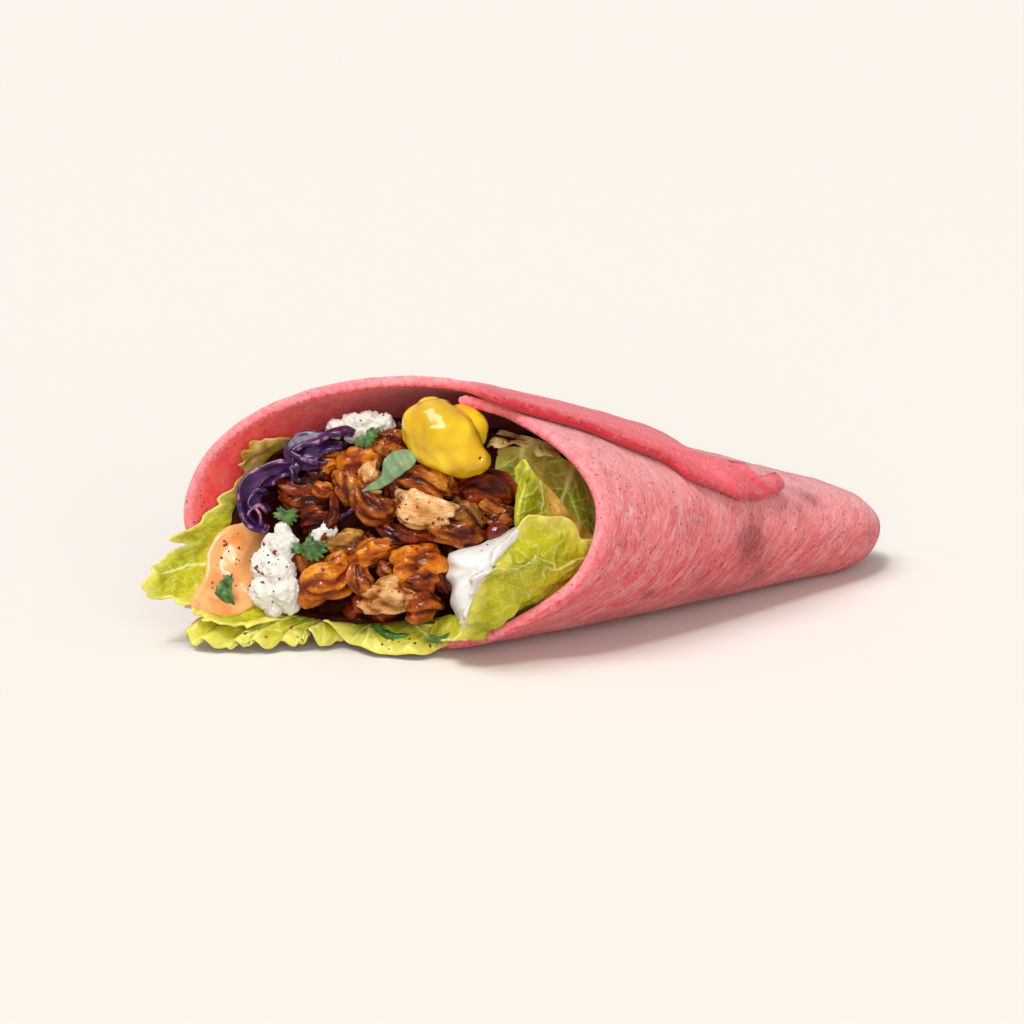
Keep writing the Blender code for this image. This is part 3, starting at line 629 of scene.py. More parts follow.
@dataclass(frozen=True)
class BreadFinish:
    """Baked wheat and beetroot dough: matt, fibrous where it was stretched, toasted in places, with painted
    shade on its downward faces and under the lapped end and a painted highlight on its upward faces.
    """

    crust: str = "#FF8288"
    deep: str = "#EA3A44"
    blush: str = "#F0606A"
    pale: str = "#FFCECE"
    flour: str = "#FFBABC"
    dark: str = "#9C2630"
    toast: str = "#8C262C"
    smooth_side: str = "#DE4852"
    under_side: str = "#C2343C"
    inner: str = "#FF6A60"
    inner_deep: str = "#F2464A"
    edge: str = "#F87880"
    edge_pale: str = "#FFA2A4"
    pore: str = "#94242E"
    fibre: float = 0.45
    fibre_length: float = 4.6

    def make(self) -> bpy.types.Material:
        """Builds the material."""
        f = Finish("beetroot_flatbread")
        t = f.tree
        outside, rim, toast, fold, front = (node(t, "Attribute", output="Fac", attribute_name=name)
                                            for name in ("outside", "rim", "toast", "fold", "front"))
        # How much a face looks up; it drives the painted light and shade below.
        facing = node(t, "SeparateXYZ", {0: node(t, "NewGeometry", output="Normal")}, output="Z")
        strands = {"Detail": 3.0, "Roughness": 0.72, "Distortion": 0.6}
        cloud = f.pattern((15.0, 10.0, 14.0), laid=True, inputs={"Detail": 4.0})
        fine = f.pattern(1.7, inputs={"Detail": 4.0, "Roughness": 0.65})
        light = f.pattern((self.fibre_length, self.fibre, 1.0), 9.0, True, inputs=strands)
        dark = f.pattern((self.fibre_length * 0.6, self.fibre * 0.9, 1.0), -7.0, True, inputs=strands)
        streaks = f.pattern((10.0, 2.8, 1.0), 7.0, True, inputs={"Detail": 4.0, "Distortion": 0.8})
        flecks = f.pattern((1.9, 0.75, 1.0), 4.0, True, inputs={"Detail": 3.0, "Roughness": 0.7})
        rough_side = node(t, "Math", {0: 1.0, 1: fold}, operation="SUBTRACT")
        shown = node(t, "Math", {0: rough_side, 1: outside}, operation="MULTIPLY")
        thin = node(t, "Math", {0: shown, 1: 0.75}, operation="MULTIPLY")
        broad = node(t, "Math", {0: shown, 1: 0.34}, operation="MULTIPLY")
        patchy = node(t, "MapRange", {"Value": cloud, "From Min": 0.3, "From Max": 0.62, "To Min": 0.35})
        darker = node(t, "Math", {0: shown, 1: patchy}, operation="MULTIPLY")
        burnt = node(t, "MapRange", {"Value": dark, "From Min": 0.35, "From Max": 0.6, "To Min": 0.25})
        # The lapped end's smooth side: a pale wash on upward faces is a painted highlight, and the darker
        # colour towards its rim is painted shade where it rolls under.
        turned = f.paint(
            self.smooth_side, Layer(cloud, 0.4, 0.7, self.blush),
            Layer(facing, 0.75, 1.0, self.edge_pale, 0.15), Layer(rim, 12.0, 0.5, self.under_side, 0.85),
        )
        # Painted light by facing: downward faces keep the deep colour as painted shade, and upward faces take
        # a pale wash that is partly flour and partly painted highlight.
        crust = f.paint(
            self.deep, Layer(facing, -0.35, 0.45, self.crust), Layer(cloud, 0.35, 0.7, self.blush, 0.8),
            Layer(facing, 0.3, 1.0, self.flour, 0.4), Layer(fold, 0.0, 1.0, turned, 0.9),
            Layer(fine, 0.45, 0.75, self.pale, 0.2), Layer(streaks, 0.42, 0.7, self.pale, broad),
            Layer(light, 0.5, 0.7, self.pale, thin),
            Layer(dark, 0.54, 0.68, self.dark, darker), Layer(flecks, 0.62, 0.74, self.dark, darker),
            Layer(toast, 0.0, 1.0, self.toast, burnt),
        )
        crumb = f.pattern(5.0, inputs={"Detail": 5.0, "Roughness": 0.6})
        # Inner face: random crumb mottling, and a darker painted shade on the underside of the lapped end.
        within = f.paint(self.inner_deep, Layer(crumb, 0.3, 0.7, self.inner),
                         Layer(fold, 0.8, 1.0, self.under_side))
        # Cut edge: the deep colour on its downward faces is painted shade, the paler edge colour on the rest.
        lip = f.paint(self.deep, Layer(facing, -0.7, 0.2, self.edge),
                      Layer(fine, 0.38, 0.6, self.edge_pale, 0.7))
        pore = f.pattern(1.5, kind="TexVoronoi")
        rare = f.pattern(4.0, inputs={"Detail": 2.0})
        hole = node(t, "MapRange", {"Value": pore, "From Min": 0.24, "From Max": 0.1})
        often = node(t, "MapRange", {"Value": rare, "From Min": 0.48, "From Max": 0.6})
        specks = node(t, "Math", {0: hole, 1: often}, operation="MULTIPLY")
        bare = node(t, "Math", {0: rough_side, 1: front}, operation="MULTIPLY")
        colour = f.paint(
            within, Layer(outside, 0.0, 1.0, crust), Layer(rim, 5.5, 1.2, lip, bare),
            Layer(specks, 0.0, 1.0, self.pore, 0.8),
        )
        pits = node(t, "Math", {0: 1.0, 1: specks}, operation="SUBTRACT")
        away = node(t, "MapRange", {"Value": rim, "From Min": 2.0, "From Max": 6.0})
        stretched = node(t, "Math", {0: shown, 1: away}, operation="MULTIPLY")
        raised = node(t, "Math", {0: light, 1: stretched}, operation="MULTIPLY")
        sunk = node(t, "Math", {0: dark, 1: stretched}, operation="MULTIPLY")
        sunk = node(t, "Math", {0: 1.0, 1: sunk}, operation="SUBTRACT")
        reliefs = ((raised, 0.3), (sunk, 0.45), (fine, 0.55), (pits, 0.6))
        return f.dress(colour, reliefs, Roughness=0.74, Subsurface_Weight=0.08,
                       Subsurface_Radius=(0.9, 0.35, 0.3), Subsurface_Scale=0.002, Specular_IOR_Level=0.25,
                       Sheen_Weight=0.18, Sheen_Roughness=0.5)


@dataclass(frozen=True)
class LeafFinish:
    """Butterhead lettuce: thin and translucent, with pale veins and a waxy shine."""

    name: str
    deep: str
    mid: str
    pale: str
    vein: str = "#DCE08A"
    brown: str = "#A8743A"
    browning: float = 0.0
    wilt_deep: str = "#8A5E10"
    wilt_pale: str = "#D0A04C"

    def make(self) -> bpy.types.Material:
        """Builds the material."""
        f = Finish(self.name)
        t = f.tree
        vein, rim, tan = (node(t, "Attribute", output="Fac", attribute_name=name)
                          for name in ("vein", "rim", "tan"))
        cloud = f.pattern(9.0, inputs={"Detail": 4.0})
        stain = f.pattern(7.0, inputs={"Detail": 3.0})
        pucker = f.pattern(3.2, inputs={"Detail": 3.0})
        bend = f.pattern(4.0, inputs={"Detail": 2.0})
        borders = {"kind": "TexVoronoi", "feature": "DISTANCE_TO_EDGE"}
        net = f.pattern((5.2, 6.4, 1.0), 24.0, True, shift=bend, **borders)
        small = f.pattern((1.7, 1.9, 1.0), 10.0, True, **borders)
        wilted = f.paint(self.wilt_deep, Layer(cloud, 0.35, 0.65, self.wilt_pale))
        colour = f.paint(
            self.deep, Layer(cloud, 0.3, 0.7, self.mid), Layer(rim, 7.0, 0.0, self.pale, 0.7),
            Layer(small, 0.1, 0.0, self.pale, 0.12), Layer(net, 0.06, 0.0, self.vein, 0.3),
            Layer(vein, 0.0, 1.0, self.vein, 0.85), Layer(stain, 0.42, 0.62, self.brown, self.browning),
            Layer(tan, 0.0, 1.0, wilted),
        )
        return f.dress(colour, ((net, 0.1), (pucker, 0.3)), Roughness=0.34, Subsurface_Weight=0.2,
                       Subsurface_Radius=(0.9, 1.0, 0.1), Subsurface_Scale=0.0015, Coat_Weight=0.2,
                       Coat_Roughness=0.2, Specular_IOR_Level=0.2)


@dataclass(frozen=True)
class MeatFinish:
    """Roast meat glazed with its own fat: fibrous, wet in its folds, lighter on its raised parts and darker
    in its dents, which is partly browning and glaze and partly painted highlight and painted crease shade.
    """

    name: str
    deep: str
    mid: str
    high: str
    rough: float = 0.26
    soft: float = 0.1
    glaze: float = 0.5
    spice: str = "#3C0A04"

    def make(self) -> bpy.types.Material:
        """Builds the material."""
        f = Finish(self.name)
        t = f.tree
        high = node(t, "Attribute", output="Fac", attribute_name="high")
        cloud = f.pattern(4.5, inputs={"Detail": 5.0, "Roughness": 0.62})
        tone = f.pattern(10.0, inputs={"Detail": 2.0})
        grain = f.pattern((2.6, 0.6, 0.6), 35.0, inputs={"Detail": 4.0, "Roughness": 0.65, "Distortion": 0.5})
        lit = node(t, "MapRange", {"Value": cloud, "From Min": 0.3, "From Max": 0.6})
        seed = f.pattern(1.1, kind="TexVoronoi")
        rare = f.pattern(5.0, inputs={"Detail": 2.0})
        often = node(t, "MapRange", {"Value": rare, "From Min": 0.5, "From Max": 0.6})
        # Raised parts lighter and dents darker by the high mark: partly browning and glaze, partly painted
        # highlight and painted crease shade.
        colour = f.paint(
            self.deep, Layer(high, 0.15, 0.58, self.mid), Layer(high, 0.45, 0.95, self.high, lit),
            Layer(tone, 0.54, 0.74, self.deep, 0.6), Layer(cloud, 0.54, 0.72, self.deep, 0.75),
            Layer(grain, 0.52, 0.7, self.deep, 0.6), Layer(grain, 0.42, 0.28, self.high, 0.35),
            Layer(seed, 0.2, 0.12, self.spice, often),
        )
        wet = node(t, "MapRange", {"Value": cloud, "From Min": 0.3, "From Max": 0.7,
                                   "To Min": self.rough - 0.1, "To Max": self.rough + 0.22})
        return f.dress(colour, ((grain, 0.6), (cloud, 0.9)), Roughness=wet, Subsurface_Weight=self.soft,
                       Subsurface_Radius=(1.0, 0.35, 0.05), Subsurface_Scale=0.0012, Coat_Weight=self.glaze,
                       Coat_Roughness=0.1, Specular_IOR_Level=0.1)


class Meat(Enum):
    """The browns that the meat and onion pieces come in."""

    ORANGE = MeatFinish("glazed_orange_meat", "#742400", "#C66404", "#FFAC38", soft=0.2)
    CARAMEL = MeatFinish("caramelised_meat", "#481000", "#944004", "#DA8830")
    BROWN = MeatFinish("roast_meat", "#3C0C00", "#8A3000", "#D87420")
    TAN = MeatFinish("pale_meat", "#843C0C", "#D08E4A", "#FFD298", 0.3, 0.2)
    DARK = MeatFinish("charred_meat", "#240500", "#5C1400", "#A8420C", 0.28)
    ONION = MeatFinish("stewed_onion", "#482608", "#92581E", "#D8A24E", 0.18, 0.3)
    CORE = MeatFinish("shaded_meat", "#300A00", "#541600", "#82300A", 0.6, 0.05, 0.05)


def plain_finish(name: str, low: str, high: str, size: float, depth: float = 0.2,
                 **sockets: object) -> bpy.types.Material:
    """A material of two mottled colours and a soft relief.

    Args:
        name: What the material is.
        low: The darker colour.
        high: The lighter colour.
        size: Width of its mottling in millimetres.
        depth: Depth of its relief in millimetres.
        sockets: More sockets of the shader.

    Returns:
        The material.
    """
    f = Finish(name)
    cloud = f.pattern(size, inputs={"Detail": 4.0})
    return f.dress(f.paint(low, Layer(cloud, 0.3, 0.7, high)), ((cloud, depth),), **sockets)


@dataclass(frozen=True)
class CabbageFinish:
    """Shredded red cabbage: a waxy purple skin with pale flesh along parts of its cut edges."""

    skin: str = "#2A0D33"
    sheen: str = "#4A1C55"
    streak: str = "#7A3A80"
    flesh: str = "#B07896"
    edge: float = 0.6

    def make(self) -> bpy.types.Material:
        """Builds the material."""
        f = Finish("red_cabbage")
        rim = node(f.tree, "Attribute", output="Fac", attribute_name="rim")
        cloud = f.pattern(3.0, inputs={"Detail": 3.0})
        lines = f.pattern((9.0, 0.8, 1.0), laid=True, inputs={"Detail": 3.0})
        some = node(f.tree, "MapRange", {"Value": cloud, "From Min": 0.52, "From Max": 0.66})
        colour = f.paint(
            self.skin, Layer(cloud, 0.35, 0.7, self.sheen), Layer(lines, 0.58, 0.75, self.streak, 0.45),
            Layer(rim, self.edge, self.edge * 0.4, self.flesh, some),
        )
        return f.dress(colour, ((lines, 0.2),), Roughness=0.3, Coat_Weight=0.3, Coat_Roughness=0.2,
                       Subsurface_Weight=0.08, Subsurface_Scale=0.001)


@dataclass(frozen=True)
class PepperFinish:
    """Pickled yellow pepper: thin waxy skin, wet with brine, olive where it is in its own shade."""

    olive: str = "#D2A208"
    lemon: str = "#F4CC22"
    bright: str = "#FFE45A"
    scar: str = "#4A2A08"

    def make(self) -> bpy.types.Material:
        """Builds the material."""
        f = Finish("pickled_yellow_pepper")
        scar = node(f.tree, "Attribute", output="Fac", attribute_name="scar")
        cloud = f.pattern(18.0, inputs={"Detail": 1.0})
        skin = f.pattern(2.4, inputs={"Detail": 2.0})
        # Broad cloud patches of olive, lemon and bright yellow: partly the skin's own colour, partly painted
        # shade and painted highlight laid at random. The dark mark is the blossom-end scar at the tip and
        # painted shade round the hidden lobe.
        colour = f.paint(self.olive, Layer(cloud, 0.36, 0.54, self.lemon),
                         Layer(cloud, 0.56, 0.72, self.bright, 0.5), Layer(scar, 0.3, 0.8, self.scar))
        return f.dress(colour, ((skin, 0.06),), Roughness=0.22, Subsurface_Weight=0.22,
                       Subsurface_Radius=(1.0, 0.7, 0.08), Subsurface_Scale=0.003, Coat_Weight=0.6,
                       Coat_Roughness=0.1)


def settle(made: bpy.types.Object, material: bpy.types.Material, slot: str, *nodes: str) -> bpy.types.Object:
    """Dresses a piece, lets it ride on the body and hides the solids that it stands for.

    Args:
        made: The piece.
        material: Its material.
        slot: Not used.
        nodes: The solids that it replaces.

    Returns:
        The piece.
    """
    made.data.materials.clear()
    made.data.materials.append(material)
    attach(made, "root")
    if nodes:
        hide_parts(*nodes)
    LOG.info("%s: %d faces", made.name, len(made.data.polygons))
    return made


# Flatbread


@dataclass
class Flatbread:
    """The rolled sheet: one layer round the filling, closed at the tip, its end lapped over it."""

    start: float = 2.0
    end: float = 428.0
    tuck: float = 26.0
    last_angle: tuple = (-26, 170, 324, 336, 344, 349, 353, 357, 372, 385, 393, 399, 404, 408, 411, 415, 421,
                         425, 428)
    last_share: tuple = (0.955, 0.955, 0.955, 0.955, 0.89, 0.77, 0.67, 0.635, 0.605, 0.600, 0.605, 0.617,
                         0.640, 0.688, 0.728, 0.745, 0.735, 0.705, 0.668)
    curl: tuple = (413.0, 0.703, 4.6, 0.017)
    columns: int = 380
    rows: int = 96
    # Toasted smudges: angle, share, reach in degrees, reach in share, strength.
    smudges: tuple = (
        (90, 0.655, 13, 0.03, 0.95), (104, 0.69, 11, 0.03, 0.6), (81, 0.54, 8, 0.04, 0.4),
        (88, 0.412, 2.6, 0.008, 0.9), (61, 0.80, 9, 0.03, 0.9), (74, 0.76, 10, 0.03, 0.5),
        (111, 0.475, 5, 0.015, 0.7), (132, 0.456, 10, 0.04, 0.6), (104, 0.564, 8, 0.03, 0.4),
        (118, 0.62, 12, 0.08, 0.45), (230, 0.5, 26, 0.08, 0.5),
        (300, 0.62, 22, 0.07, 0.45), (180, 0.8, 26, 0.06, 0.4),
    )

    def lay(self, u: Array, v: Array) -> tuple[Array, Array, Array]:
        """Angle, share and the rim's share; towards the tip the first layer starts further back."""
        start = self.start - self.tuck * smooth((v - 0.25) / 0.35)
        angle = start + (self.end - start) * u
        rim = FORM.rim(angle + 5.0 * smooth((angle - 374.0) / 16.0) * (1.0 - smooth((angle - 408.0) / 14.0)))
        return angle, rim + (along(angle, self.last_angle, self.last_share) - rim) * v, rim

    def surface(self, u: Array, v: Array) -> Array:
        """The sheet's middle layer, with the flap's puffed edge and the curl at its corner."""
        angle, share, _ = self.lay(u, v)
        depth = -FORM.thickness / 2.0 - 3.8 * smooth((self.start - angle) / 22.0)
        depth = depth + 1.3 * smooth((angle - 376.0) / 26.0) * np.sin(np.pi * v)
        settled = smooth((share - 0.575) / 0.06) * smooth((angle - 340.0) / 10.0)
        depth = depth - 2.8 * settled * (1.0 - smooth((angle - 396.0) / 12.0))
        at, reach, wide, long = self.curl
        gap = np.hypot((angle - at) / wide, (share - reach) / long)
        ring = 1.6 * np.exp(-((gap - 1.75) / 0.55) ** 2) - 3.4 * np.exp(-gap**2)
        return self.swollen(FORM.point(angle, share, depth + ring * smooth((angle - 385.0) / 15.0)))

    def relief(self, u: Array, v: Array, place: Array, rim: Array) -> Array:
        """Shallow pits and blisters of the bake."""
        return 0.22 * lumps(place, 7.0, 3, 5.0) - 0.25 * np.clip(0.25 - creases(place, 9.0), 0.0, 1.0)

    def toast(self, u: Array, v: Array, place: Array, rim: Array) -> Array:
        """Where the sheet browned."""
        angle, share, _ = self.lay(u, v)
        total = np.zeros_like(u)
        for at, reach, wide, long, strength in self.smudges:
            for turn in (0.0, 360.0):
                gap = ((angle - at - turn) / wide) ** 2 + ((share - reach) / long) ** 2
                total = total + strength * np.exp(-gap)
        return np.clip(total * (0.8 + 0.6 * lumps(place, 9.0, 3, 8.0)), 0.0, 1.0)

    def fold(self, u: Array, v: Array, place: Array, rim: Array) -> Array:
        """Where the lapped end shows the smooth side of the dough."""
        return smooth((self.lay(u, v)[0] - 345.0) / 35.0)

    def front(self, u: Array, v: Array, place: Array, rim: Array) -> Array:
        """How much of the sheet's paler cut edge shows: all of it at the mouth, none at the tip."""
        return 0.85 * (1.0 - smooth((v - 0.5) / 0.2))

    def cap(self, u: Array, v: Array) -> Array:
        """The closed end of the roll."""
        share = 0.9 + 0.1 * v
        place = FORM.point(self.start + 360.0 * u, share, -0.25 * (1.0 - v), False)
        return self.swollen(place)

    def swollen(self, place: Array) -> Array:
        """The sheet's broad unevenness, less where it rests on the surface."""
        swell = lumps(place * np.array([0.6, 1.0, 1.0]), 26.0, 2, 3.0) * 0.55
        return place + swell[..., None] * np.array([0.0, 0.3, 1.0]) * smooth((place[..., 2:3] - 3.0) / 12.0)

    def build(self) -> list[bpy.types.Object]:
        """Makes the flatbread and its closed tip."""
        rounding = (0.002, 0.006, 0.011, 0.017, 0.024)
        look = BreadFinish().make()
        sheet = Skin(
            "flatbread_sheet", self.surface, spread(self.columns, (0.0008, 0.0022, 0.004), True),
            spread(self.rows, rounding, True), FORM.thickness, relief=self.relief,
            marks={"toast": self.toast, "fold": self.fold, "front": self.front},
        )
        tip = Skin(
            "flatbread_tip", self.cap, np.linspace(0, 1, 97), np.linspace(0, 1, 61) ** 0.7, 0.4, closed=True,
            marks={"toast": lambda u, v, p, r: 0.0 * u, "fold": lambda u, v, p, r: 0.5 * smooth(v),
                   "front": lambda u, v, p, r: 0.0 * u},
        ).make()
        mark(tip, "rim", np.full(len(tip.data.vertices), 20.0))
        return [settle(piece, look, "flatbread", "flatbread") for piece in (sheet.make(), tip)]


# Lettuce


@dataclass
class Leaf:
    """One lettuce leaf: its surface, its ruffles and its veins."""

    name: str
    node: str
    surface: Surface
    columns: int
    rows: int
    ribs: tuple
    spacing: float = 8.0
    ruffle: float = 0.8
    ruffle_size: float = 7.0
    tan: Callable[[Array, Array], Array] | None = None
    thickness: float = 0.8

    def laid(self, u: Array, v: Array) -> Array:
        """The leaf's middle layer with ruffles that grow towards its free edge."""
        place = self.surface(u, v)
        wave = lumps(place, self.ruffle_size, 3, len(self.name) * 0.7)
        free = (1.0 - v) ** 1.3
        normal = unit(np.cross(np.gradient(place, axis=0), np.gradient(place, axis=1)))
        inward = np.asarray(FORM.middle) - place
        normal = normal * np.sign(np.sum(normal * inward, -1, keepdims=True))
        return place + normal * ((wave * 0.5 + 0.4) * self.ruffle * (0.3 + free))[..., None]

    def vein(self, u: Array, v: Array, place: Array, rim: Array) -> Array:
        """How near each point is to a rib or one of its side veins."""
        x, y = cumulative(place, 0), cumulative(place, 1)
        bend = lumps(place, 11.0, 2, 4.0)
        total = np.zeros_like(u)
        for at, lean, width in self.ribs:
            centre = at * x[-1:] + lean * y + bend * 1.6
            gap = x - centre
            rib = np.exp(-(gap / (width * (0.5 + 0.7 * v))) ** 2)
            phase = (y + np.abs(gap) * 0.75 + bend * 2.0) / self.spacing
            near = np.abs(phase - np.round(phase)) * self.spacing
            side = np.exp(-(near / 0.34) ** 2) * np.exp(-np.abs(gap) / 22.0)
            total = np.maximum(total, np.maximum(rib, side * 0.8))
        return total

    def relief(self, u: Array, v: Array, place: Array, rim: Array) -> Array:
        """Ribs stand out and the leaf puckers between them."""
        return 0.32 * self.vein(u, v, place, rim) + 0.3 * lumps(place, 3.2, 2, 2.0)

    def tanned(self, u: Array, v: Array, place: Array, rim: Array) -> Array:
        """Where the leaf has wilted."""
        return self.tan(u, v) if self.tan else np.zeros_like(u)

    def build(self, material: bpy.types.Material, slot: str) -> bpy.types.Object:
        """Makes the leaf."""
        skin = Skin(
            self.name, self.laid, spread(self.columns, (0.001, 0.003), True),
            spread(self.rows, (0.002, 0.006), True), self.thickness, edge=0.8, relief=self.relief,
            marks={"vein": self.vein, "tan": self.tanned},
        )
        return settle(skin.make(), material, slot, self.node)


@dataclass
class Lettuce:
    """All the leaves that line the roll and spill out of it."""

    depth: float = -5.3
    left_angle: tuple = (205, 215, 225, 231, 236, 242, 247, 251, 254, 257, 260, 264, 268, 274, 280, 286,
                         291, 295)
    left_share: tuple = (0.03, -0.01, -0.02, -0.042, -0.062, -0.064, -0.035, -0.016, 0.006, -0.014, 0.022,
                         0.044, 0.062, 0.082, 0.098, 0.096, 0.094, 0.106)
    near_angle: tuple = (80, 84, 88, 92, 95, 98, 101, 107, 118, 130, 143, 150, 154)
    near_share: tuple = (0.292, 0.285, 0.268, 0.240, 0.226, 0.232, 0.218, 0.212, 0.208, 0.206, 0.212, 0.216,
                         0.22)
    floor_edge: tuple = ((-97.5, 36.5, 1.0), (-96.0, 27.5, 0.9), (-88.0, 21.5, 0.8), (-81.0, 16.5, 0.8),
                         (-72.5, 13.0, 0.8), (-64.5, 9.0, 0.8), (-56.5, 8.5, 1.2))
    front_edge: tuple = ((-65.0, 7.5, 8.5), (-58.0, 5.5, 2.0), (-56.8, -4.5, 0.8), (-52.0, -11.5, 0.7),
                         (-44.0, -16.5, 0.7), (-32.0, -15.5, 0.9), (-23.0, -15.0, 1.1))

    def left(self, u: Array, v: Array) -> Array:
        """Lines the far wall and spills out past the rim."""
        angle = 205.0 + 90.0 * u
        edge = along(angle, self.left_angle, self.left_share)
        edge = edge + 0.007 * np.sin(u * 71.0) * np.sin(u * 23.0 + 1.0)
        wave = 0.5 + 0.5 * np.sin(u * 34.0 + 3.0 * v)
        depth = self.depth - 0.4 - 1.8 * (1.0 - v) ** 2 * wave - 1.5 * v
        return FORM.point(angle, edge + 0.27 * v, depth)

    def spill(self, u: Array, v: Array, edge_points: tuple, angles: tuple, frill: float,
              waves: float) -> Array:
        """Comes out over the lower rim and lies on the surface in front of it.

        Args:
            u: Share of the way along the free edge.
            v: Share of the way in from that edge.
            edge_points: The free edge as seen in the photograph.
            angles: Where the leaf crosses the rim at either end.
            frill: How high its free edge ripples in millimetres.
            waves: How close the ripples stand.

        Returns:
            Points in millimetres.
        """
        edge = path_through(edge_points, u)
        reach = 1.6 * np.sin(u * waves * 0.9 + 0.7) + 1.0 * np.sin(u * waves * 2.1)
        edge = edge + np.array([-0.7, -0.7, 0.0]) * (reach * np.sin(np.pi * u))[..., None] * 0.6
        jag = 1.0 + np.sin(u * waves * 2.3) * 0.6
        angle = angles[0] + (angles[1] - angles[0]) * u
        rim = FORM.rim(angle)
        over = FORM.point(angle, rim - 0.012, self.depth - 2.4)
        inner = FORM.point(angle, rim + 0.09, self.depth - 5.2)
        s = np.clip(v / 0.5, 0.0, 1.0)[..., None]
        low = edge * (1 - s) + over * s
        low[..., 2] = (edge[..., 2:] * (1 - s) ** 2 + over[..., 2:] * (1 - (1 - s) ** 2))[..., 0]
        place = np.where((v < 0.5)[..., None], low, over + (inner - over) * ((v - 0.5) / 0.5)[..., None])
        rise = (1.0 - np.minimum(v / 0.45, 1.0)) ** 1.5
        ripple = 0.5 + 0.3 * np.sin(u * waves + 2.0 * v) + 0.2 * np.sin(u * waves * 1.73 + 1.3)
        place[..., 2] += frill * rise * ripple * jag * 0.8
        place[..., 2] = np.maximum(place[..., 2], 0.7)
        return place

    def floor(self, u: Array, v: Array) -> Array:
        """The leaf at the lower left."""
        return self.spill(u, v, self.floor_edge, (224.0, 187.0), 4.2, 19.0)

    def front(self, u: Array, v: Array) -> Array:
        """The leaf at the bottom of the mouth."""
        return self.spill(u, v, self.front_edge, (189.0, 152.0), 1.9, 11.0)

    def near(self, u: Array, v: Array) -> Array:
        """Lines the shown side's wall and folds out past the rim."""
        top = 80.0 + 9.0 * smooth((v - 0.2) / 0.25)
        angle = top + (154.0 - top) * u
        lobes = 0.004 * np.sin(u * 31.0 + 0.6) + 0.003 * np.sin(u * 67.0 + 2.0)
        edge = along(angle, self.near_angle, self.near_share) + lobes
        frill = (1.0 - v) ** 2
        wave = 0.5 + 0.32 * np.sin(u * 23.0 + 3.0 * v) + 0.18 * np.sin(u * 41.0 + 1.0)
        crest = 3.6 * np.exp(-((u - 0.1) / 0.07) ** 2) * np.exp(-((v - 0.16) / 0.22) ** 2)
        crest = crest - 2.0 * np.exp(-((u - 0.24) / 0.07) ** 2) * np.exp(-((v - 0.1) / 0.3) ** 2)
        bulge = 2.4 * np.sin(np.pi * np.clip(v * 1.6, 0.0, 1.0)) * np.sin(np.pi * u)
        depth = self.depth - 1.4 - 2.6 * frill * wave - 1.0 * v - crest + bulge
        share = edge + 0.25 * v
        over = smooth((angle - 106.0) / 28.0) * smooth((FORM.rim(angle) - share) / 0.02)
        return FORM.point(angle, share, np.minimum(depth + 7.0 * over, -4.6 + 6.5 * over))

    def standing(self, u: Array, v: Array) -> Array:
        """Stands in the right of the mouth, its fold to the front."""
        left_across, left_up = 34.8 + 3.0 * (1 - v), 1.0 + 18.0 * v
        across = left_across + (60.5 - left_across) * u
        crown = np.exp(-((u - 0.15) / 0.12) ** 2)
        fall = (-8.0 + 10.0 * v - left_up) * smooth(u) ** 1.3
        up = left_up + fall + (3.6 * crown + 0.3 * np.sin(u * 19.0)) * v
        ridge, valley = 0.06 + 0.15 * v, 0.26 + 0.22 * v
        fold = 4.6 * np.exp(-((u - ridge) / 0.12) ** 2) - 2.6 * np.exp(-((u - valley) / 0.13) ** 2)
        out = -4.6 + fold - 12.0 * u**1.5 + 0.9 * np.sin(7.0 * v + 4.0 * u)
        return FORM.mouth(across, up, out)

    def back(self, u: Array, v: Array) -> Array:
        """The ribbed leaf deeper inside."""
        out = -13.0 - 6.0 * u + 1.6 * np.sin(9.0 * u + 5.0 * v) - 2.0 * v
        up = 29.0 - 3.0 * u - 16.0 * u**2 - 17.0 * (1 - v) + 0.7 * np.sin(u * 14.0) * v
        return FORM.mouth(37.0 + 23.0 * u + 1.5 * v, up, out)

    def roof(self, u: Array, v: Array) -> Array:
        """The wilted leaf that hangs under the flap."""
        out = -11.0 - 6.0 * v + 1.9 * np.sin(8.0 * u + 3.0 * v) + 0.6 * np.sin(19.0 * u)
        hem = (1.5 * np.sin(u * 8.4 + 4.4) + 0.4 * np.sin(u * 23.0)) * (1 - v)
        up = 27.6 + 5.4 * v * (1 - 0.5 * u) - 2.5 * u**2 + hem
        return FORM.mouth(24.0 + 21.0 * u + 1.5 * v, up, out)

    def dark(self, u: Array, v: Array) -> Array:
        """The shaded leaf behind the pepper."""
        return FORM.mouth(26.5 + 15.0 * u, 13.5 + 14.0 * v, -12.5 - 2.5 * u + 0.9 * np.sin(8.0 * u + 4.0 * v))

